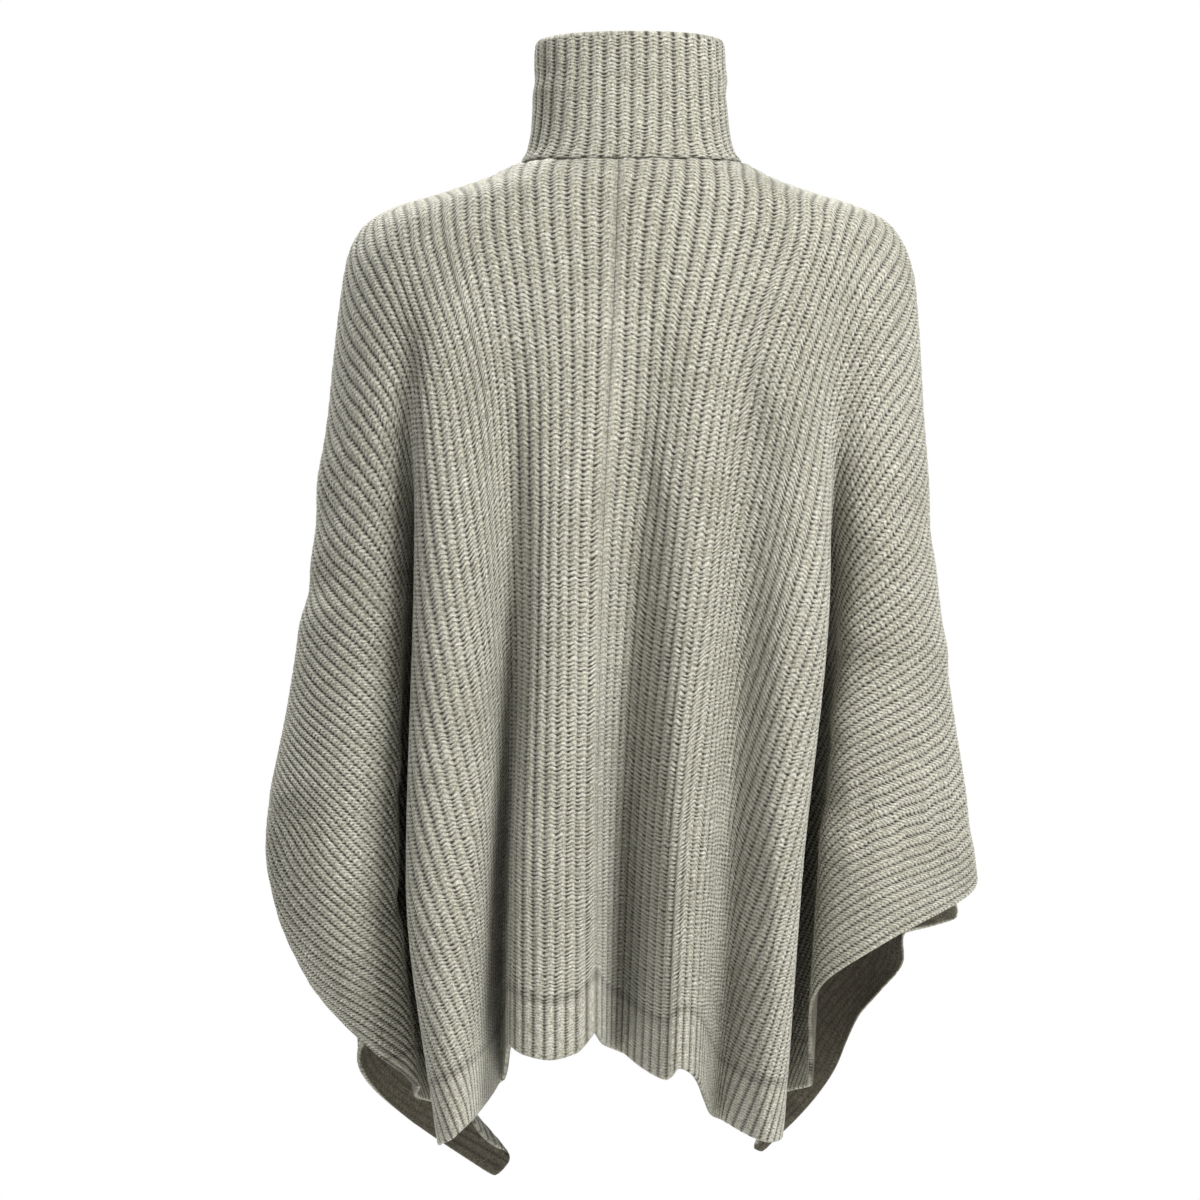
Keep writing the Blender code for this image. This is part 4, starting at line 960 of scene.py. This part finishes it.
    height = node(tree, "ShaderNodeMath", {0: hole, 1: -1.0, 2: 1.0}, operation="MULTIPLY_ADD")
    height = node(tree, "ShaderNodeMath", {0: fibre, 1: FIBRE_HEIGHT, 2: height},
                  operation="MULTIPLY_ADD")
    bump = node(tree, "ShaderNodeBump", {"Height": height, "Distance": STITCH_DEPTH,
                                         "Strength": 1.0})
    shader = node(tree, "ShaderNodeBsdfPrincipled", {
        "Base Color": colour.outputs[2], "Roughness": 0.92, "Specular IOR Level": 0.2,
        "Sheen Weight": 0.25, "Sheen Roughness": 0.6, "Normal": bump})
    node(tree, "ShaderNodeOutputMaterial", {"Surface": shader})
    return material


def woven_tape():
    """Polyester zip tape, woven in a fine herringbone: matt, with faint cross lines."""
    material, tree = blank_material("woven_polyester_tape")
    place = node(tree, "ShaderNodeTexCoord").outputs["Object"]
    weave = node(tree, "ShaderNodeTexWave", {"Vector": place, "Scale": 1 / TAPE_THREAD,
                                             "Distortion": 1.5, "Detail": 1.0},
                 wave_type="BANDS", bands_direction="Z")
    colour = node(tree, "ShaderNodeMix", {0: weave, 6: (*linear(TAPE_DARK), 1),
                                          7: (*linear(TAPE_LIGHT), 1)}, data_type="RGBA")
    bump = node(tree, "ShaderNodeBump", {"Height": weave, "Distance": 0.0001, "Strength": 0.8})
    shader = node(tree, "ShaderNodeBsdfPrincipled", {
        "Base Color": colour.outputs[2], "Roughness": 0.8, "Specular IOR Level": 0.3,
        "Sheen Weight": 0.1, "Normal": bump})
    node(tree, "ShaderNodeOutputMaterial", {"Surface": shader})
    return material


def satin_nickel():
    """Nickel-plated brass, tumbled to a satin finish: warm grey, with fine scuffs."""
    material, tree = blank_material("satin_nickel_plate")
    place = node(tree, "ShaderNodeTexCoord").outputs["Object"]
    scuff = node(tree, "ShaderNodeTexNoise", {"Vector": place, "Scale": 900.0, "Detail": 4.0})
    rough = node(tree, "ShaderNodeMapRange", {"Value": scuff, "To Min": 0.34, "To Max": 0.52})
    tarnish = node(tree, "ShaderNodeTexNoise", {"Vector": place, "Scale": 160.0, "Detail": 3.0})
    colour = node(tree, "ShaderNodeMix", {0: tarnish, 6: (*linear(NICKEL_DARK), 1),
                                          7: (*linear(NICKEL_LIGHT), 1)}, data_type="RGBA")
    bump = node(tree, "ShaderNodeBump", {"Height": scuff, "Distance": 0.00004, "Strength": 0.4})
    shader = node(tree, "ShaderNodeBsdfPrincipled", {
        "Base Color": colour.outputs[2], "Metallic": 1.0, "Roughness": rough, "Normal": bump})
    node(tree, "ShaderNodeOutputMaterial", {"Surface": shader})
    return material


def matt_paper():
    """Seamless paper on the floor: matt and nearly white."""
    material, tree = blank_material("matt_paper")
    shader = node(tree, "ShaderNodeBsdfPrincipled", {
        "Base Color": (*linear("#F5F5F4"), 1), "Roughness": 0.9, "Specular IOR Level": 0.1})
    node(tree, "ShaderNodeOutputMaterial", {"Surface": shader})
    return material


def white_cove():
    """The cove round the garment, lit evenly so that it shows as plain white."""
    material, tree = blank_material("white_cove")
    shader = node(tree, "ShaderNodeEmission", {"Color": (1, 1, 1, 1), "Strength": 1.0})
    node(tree, "ShaderNodeOutputMaterial", {"Surface": shader})
    return material


# Zip
TOOTH_SHARE = 0.29            # half a tooth's height, as a share of the pitch
# Sections of a tooth: mm from the middle of the zip, and shares of its depth and height
TOOTH_SECTIONS = ((2.6, 1.0, 1.0), (1.1, 1.0, 1.0), (0.7, 0.8, 0.75), (0.2, 0.8, 0.75),
                  (-0.2, 0.95, 1.0), (-0.7, 0.7, 0.7))
ZIP_LOW = -700                # mm, height down to which its line is worked out


def zip_line(high, low):
    """Middle of the zip's tape between two heights in mm, from the top down: points in metres."""
    collar = collar_surface()
    heights = np.linspace(-NECK_DROP[1], ZIP_LOW, 120)
    panel = cloth(2 * arm_line(heights, 1, 3), heights, 1)
    outer = np.concatenate([collar[0][:-1], panel])
    normal = np.stack([0 * outer[:, 0], np.gradient(outer[:, 2]), -np.gradient(outer[:, 1])],
                      axis=1)
    normal /= np.linalg.norm(normal, axis=1, keepdims=True)
    line = outer - TAPE_DEPTH * MM * normal
    z = np.linspace(high, low, 160) * MM
    return np.stack([0 * z, np.interp(-z, -line[:, 2], line[:, 1]), z], axis=1)


def line_object(name, points):
    """An open chain of edges through the points."""
    edges = [(i, i + 1) for i in range(len(points) - 1)]
    return added(name, mesh_of(name, points.tolist(), [], edges))


def tooth_shape(sizes):
    """One tooth, from the tape's edge to its head, which reaches across the middle of the zip."""
    half_deep, half_high = sizes.tooth_depth / 2, sizes.tooth_pitch * TOOTH_SHARE
    corners = ((-1, -1), (1, -1), (1, 1), (-1, 1))
    vertices = [(out * MM, y * deep * half_deep, z * high * half_high)
                for out, deep, high in TOOTH_SECTIONS for y, z in corners]
    faces = [(near + k, near + (k + 1) % 4, near + 4 + (k + 1) % 4, near + 4 + k)
             for near in range(0, len(vertices) - 4, 4) for k in range(4)]
    last = len(vertices) - 4
    mesh = mesh_of("tooth", vertices, faces + [(0, 1, 2, 3), tuple(range(last, last + 4))])
    turn_outward(mesh)
    return added("tooth", mesh)


def teeth_tree(tooth, metal):
    """Node tree that puts a tooth at every pitch along a line, turned to follow it."""
    tree = bpy.data.node_groups.new("zip_teeth", "GeometryNodeTree")
    tree.interface.new_socket("Geometry", in_out="INPUT", socket_type="NodeSocketGeometry")
    tree.interface.new_socket("Pitch", in_out="INPUT", socket_type="NodeSocketFloat")
    tree.interface.new_socket("Side", in_out="INPUT", socket_type="NodeSocketVector")
    tree.interface.new_socket("Geometry", in_out="OUTPUT", socket_type="NodeSocketGeometry")
    entry = node(tree, "NodeGroupInput")
    curve = node(tree, "GeometryNodeMeshToCurve", {"Mesh": entry.outputs["Geometry"]})
    spaced = node(tree, "GeometryNodeResampleCurve",
                  {"Curve": curve, "Length": entry.outputs["Pitch"]}, mode="LENGTH")
    tangent = node(tree, "GeometryNodeInputTangent")
    facing = node(tree, "FunctionNodeAlignRotationToVector", {"Vector": tangent},
                  axis="Z", pivot_axis="X")
    shape = node(tree, "GeometryNodeObjectInfo", {"Object": tooth})
    teeth = node(tree, "GeometryNodeInstanceOnPoints",
                 {"Points": spaced, "Instance": shape.outputs["Geometry"], "Rotation": facing,
                  "Scale": entry.outputs["Side"]})
    real = node(tree, "GeometryNodeRealizeInstances", {"Geometry": teeth})
    plated = node(tree, "GeometryNodeSetMaterial", {"Geometry": real, "Material": metal})
    node(tree, "NodeGroupOutput", {"Geometry": plated})
    return tree


def grown(tree, base, name, values):
    """Run a node tree on an object and keep the result as a plain mesh with true normals."""
    step = base.modifiers.new("grow", "NODES")
    step.node_group = tree
    for item in tree.interface.items_tree:
        if item.in_out == "INPUT" and item.name in values:
            step[item.identifier] = values[item.name]
    graph = bpy.context.evaluated_depsgraph_get()
    mesh = bpy.data.meshes.new_from_object(base.evaluated_get(graph))
    base.modifiers.remove(step)
    turn_outward(mesh)
    mesh.name = name
    bpy.data.objects.remove(base)
    return added(name, mesh)


def polished_copy(node_name, width, metal):
    """A packed metal piece with its edges rounded."""
    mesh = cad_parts[node_name].data.copy()
    work = bmesh.new()
    work.from_mesh(mesh)
    bmesh.ops.remove_doubles(work, verts=work.verts[:], dist=0.00001)
    bmesh.ops.dissolve_limit(work, angle_limit=math.radians(4), verts=work.verts[:],
                             edges=work.edges[:])
    work.to_mesh(mesh)
    work.free()
    mesh.materials.clear()
    mesh.materials.append(metal)
    made = added(node_name + "_metal", mesh)
    bevel = made.modifiers.new("round", "BEVEL")
    bevel.width = width
    bevel.segments = 2
    bevel.limit_method = "ANGLE"
    return made


# Studio: the lamps' names, places and sizes in metres, power setting, share of it and colour
LAMPS = (
    ("key", (-1.8, 2.4, 2.6), 1.2, "key_power", 1.0, (1, 1, 0.98)),
    ("fill", (1.5, 1.9, 1.5), 1.6, "fill_power", 1.0, (1, 1, 1)),
    ("front_key", (1.8, -2.4, 2.6), 1.2, "key_power", 1.1, (1, 1, 0.98)),
    ("front_fill", (-1.5, -1.9, 1.5), 1.6, "fill_power", 2.0, (1, 1, 1)),
)
LAMP_TARGET = (0.0, 0.0, -0.35)
ROOM_LIGHT = 0.035            # strength of the light from everywhere
FLOOR_RADIUS = 4.5            # m
FLOOR_GAP = 0.01              # m, from the floor down to the cove
COVE_TOP = 5.0                # m, height of its ceiling
ROUND_STEPS = 64              # steps round the floor and the cove


# Settings, operators and panel

def colour_setting(name, code, description):
    return bpy.props.FloatVectorProperty(name=name, description=description, subtype="COLOR",
                                         size=3, min=0.0, max=1.0, default=linear(code))


def length_setting(name, metres, description):
    return bpy.props.FloatProperty(name=name, description=description, default=metres,
                                   min=0.0001, unit="LENGTH", precision=4)


class KnitSettings(bpy.types.PropertyGroup):
    """The knit's sizes and colours."""
    row_pitch: length_setting("Row height", 4.4 * MM, "Height of one row of stitches")
    rib_relief: length_setting("Rib relief", 0.9 * MM, "Height of a rib's crest over its flanks")
    band_height: length_setting("Hem band", 45 * MM, "Height of the plain band above the hem")
    yarn_light: colour_setting("Light fibre", "#E9E7DA", "Paler fibres of the melange yarn")
    yarn_dark: colour_setting("Dark fibre", "#8A8873", "Darker fibres of the melange yarn")
    # the reverse's own browner fibres, darkened further as painted shade of the garment's inside
    shaded_reverse_light: colour_setting("Light reverse", "#746E5D", "Paler fibres on the reverse")
    shaded_reverse_dark: colour_setting("Dark reverse", "#423E31", "Darker fibres on the reverse")
    # colour of the painted shade in the holes, the furrows, the seam column and the band's step
    painted_shade_colour: colour_setting("Hollow", "#362F24", "Depth of the holes between stitches")


class ZipSettings(bpy.types.PropertyGroup):
    """The zip's sizes."""
    tooth_pitch: length_setting("Tooth pitch", 2.8 * MM, "From one tooth to the next of its row")
    tooth_depth: length_setting("Tooth depth", 2.4 * MM, "Thickness of a tooth, front to back")
    edge_round: length_setting("Edge rounding", 0.2 * MM, "Rounding of the slider's edges")


class StudioSettings(bpy.types.PropertyGroup):
    """The camera and the room."""
    distance: length_setting("Camera distance", 2.6, "From the middle of the garment")
    lens: bpy.props.FloatProperty(name="Lens", description="Focal length in millimetres",
                                  default=96.3, min=20.0)
    camera_height: bpy.props.FloatProperty(name="Camera height", default=-0.354, unit="LENGTH",
                                           description="Height of the camera over the origin")
    camera_side: bpy.props.FloatProperty(name="Camera side", default=0.0227, unit="LENGTH",
                                         description="Camera's distance to the wearer's left")
    floor: bpy.props.FloatProperty(name="Floor", default=-1.36, unit="LENGTH",
                                   description="Height of the floor under the wearer's feet")
    key_power: bpy.props.FloatProperty(name="Key light", default=240.0, min=0.0,
                                       description="Power of the key light in watts")
    fill_power: bpy.props.FloatProperty(name="Fill light", default=11.0, min=0.0,
                                        description="Power of the fill light in watts")


def dress(piece, material, replaced):
    """Give a finished piece its material, and say what it is to the frame."""
    piece.data.materials.clear()
    piece.data.materials.append(material)
    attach(piece, GARMENT_BODY)
    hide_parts(*replaced)


class KNITWEAR_OT_panels(bpy.types.Operator):
    """Knit the two back panels and the two fronts"""
    bl_idname = "knitwear.panels"
    bl_label = "Panels"

    def execute(self, context):
        sizes = context.scene.knit_settings
        wool = half_cardigan_wool(sizes)
        for name, side, face, cut, area in PANEL_CUTS:
            piece = knit_panel(name, side, face, sizes)
            dress(piece, wool, [name])
        return {"FINISHED"}


class KNITWEAR_OT_collar(bpy.types.Operator):
    """Knit the funnel collar"""
    bl_idname = "knitwear.collar"
    bl_label = "Collar"

    def execute(self, context):
        piece = knit_collar(context.scene.knit_settings)
        dress(piece, bpy.data.materials["half_cardigan_wool"], ["collar"])
        return {"FINISHED"}


class KNITWEAR_OT_zip(bpy.types.Operator):
    """Make the zip: tapes, teeth, stops, slider and pull tab"""
    bl_idname = "knitwear.zip"
    bl_label = "Zip"

    def execute(self, context):
        sizes = context.scene.zip_settings
        tape, metal = woven_tape(), satin_nickel()
        for word in ("left", "right"):
            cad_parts["zip_tape_" + word].data.materials[0] = tape
            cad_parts["top_stop_" + word].data.materials[0] = metal
        for name in ("box_left", "pin_right"):
            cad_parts[name].data.materials[0] = metal
        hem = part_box("box_left")[0][2] / MM
        for word, side, start in (("left", 1, 0.0), ("right", -1, 0.5)):
            high = SLIDER_TOP - STOP_ROOM - start * sizes.tooth_pitch / MM
            line = line_object("chain", zip_line(high, hem + LAST_TOOTH))
            tooth = tooth_shape(sizes)
            row = grown(teeth_tree(tooth, metal), line, "teeth_" + word,
                        {"Pitch": sizes.tooth_pitch, "Side": (side, 1, 1)})
            bpy.data.objects.remove(tooth)
            dress(row, metal, ["zip_teeth_" + word])
        for name, body in (("slider", GARMENT_BODY), ("pull_tab", "pull_tab")):
            piece = polished_copy(name, sizes.edge_round, metal)
            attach(piece, body)
            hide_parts(name)
        return {"FINISHED"}


def turned(name, profile, material):
    """A surface made by turning radius, height pairs round the upright axis."""
    turns = [2 * math.pi * i / ROUND_STEPS for i in range(ROUND_STEPS)]
    vertices = [(r * math.cos(a), r * math.sin(a), z) for r, z in profile for a in turns]
    faces = [(row + i, row + (i + 1) % ROUND_STEPS,
              row + ROUND_STEPS + (i + 1) % ROUND_STEPS, row + ROUND_STEPS + i)
             for row in range(0, len(vertices) - ROUND_STEPS, ROUND_STEPS)
             for i in range(ROUND_STEPS)]
    mesh = mesh_of(name, vertices, faces)
    mesh.materials.append(material)
    return added(name, mesh)


class KNITWEAR_OT_studio(bpy.types.Operator):
    """Set up the camera, the soft lights, the floor and the white cove"""
    bl_idname = "knitwear.studio"
    bl_label = "Studio"

    def execute(self, context):
        settings = context.scene.studio_settings
        data = bpy.data.cameras.new("camera")
        data.lens = settings.lens
        data.dof.use_dof = False
        camera = added("camera", data)
        camera.location = (settings.camera_side, settings.distance, settings.camera_height)
        camera.rotation_euler = (math.pi / 2, 0, math.pi)
        context.scene.camera = camera
        context.scene.view_settings.view_transform = "Standard"

        for name, place, size, power, share, colour in LAMPS:
            data = bpy.data.lights.new(name, "AREA")
            data.shape = "RECTANGLE"
            data.size = data.size_y = size
            data.energy = getattr(settings, power) * share
            data.color = colour
            lamp = added(name, data)
            lamp.location = place
            aim = Vector(LAMP_TARGET) - Vector(place)
            lamp.rotation_euler = aim.to_track_quat("-Z", "Y").to_euler()
        world = bpy.data.worlds.new("room")
        world.use_nodes = True
        sky = world.node_tree.nodes["Background"]
        sky.inputs["Color"].default_value = (1, 1, 1, 1)
        sky.inputs["Strength"].default_value = ROOM_LIGHT
        context.scene.world = world

        # the floor throws the lamps' light back up, and the white cove is only looked at
        floor = turned("floor", [(0.0, settings.floor), (FLOOR_RADIUS, settings.floor)],
                       matt_paper())
        floor.visible_camera = False
        cove = [(FLOOR_RADIUS + math.sin(a), settings.floor - FLOOR_GAP + 1 - math.cos(a))
                for a in np.linspace(0, math.pi / 2, 9)]
        cove = turned("cove", [(0.0, settings.floor - FLOOR_GAP)] + cove
                      + [(FLOOR_RADIUS + 1, COVE_TOP), (0.0, COVE_TOP)], white_cove())
        for seen_by in ("diffuse", "glossy", "transmission", "volume_scatter", "shadow"):
            setattr(cove, "visible_" + seen_by, False)
        return {"FINISHED"}


class KNITWEAR_PT_panel(bpy.types.Panel):
    """Settings and steps of the sweater"""
    bl_idname = "KNITWEAR_PT_panel"
    bl_label = "Poncho sweater"
    bl_space_type = "VIEW_3D"
    bl_region_type = "UI"
    bl_category = "Knitwear"

    def draw(self, context):
        scene = context.scene
        for title, settings, step in (
                ("Knit", scene.knit_settings, "knitwear.panels"),
                (None, None, "knitwear.collar"),
                ("Zip", scene.zip_settings, "knitwear.zip"),
                ("Studio", scene.studio_settings, "knitwear.studio")):
            if settings:
                self.layout.label(text=title)
                for key in settings.__annotations__:
                    self.layout.prop(settings, key)
            self.layout.operator(step)


CLASSES = (KnitSettings, ZipSettings, StudioSettings, KNITWEAR_OT_panels, KNITWEAR_OT_collar,
           KNITWEAR_OT_zip, KNITWEAR_OT_studio, KNITWEAR_PT_panel)


def register():
    for made in CLASSES:
        bpy.utils.register_class(made)
    bpy.types.Scene.knit_settings = bpy.props.PointerProperty(type=KnitSettings)
    bpy.types.Scene.zip_settings = bpy.props.PointerProperty(type=ZipSettings)
    bpy.types.Scene.studio_settings = bpy.props.PointerProperty(type=StudioSettings)


def unregister():
    del bpy.types.Scene.studio_settings
    del bpy.types.Scene.zip_settings
    del bpy.types.Scene.knit_settings
    for made in reversed(CLASSES):
        bpy.utils.unregister_class(made)


def main():
    register()
    bpy.ops.knitwear.panels()
    bpy.ops.knitwear.collar()
    bpy.ops.knitwear.zip()
    bpy.ops.knitwear.studio()


if __name__ == "__main__":
    main()
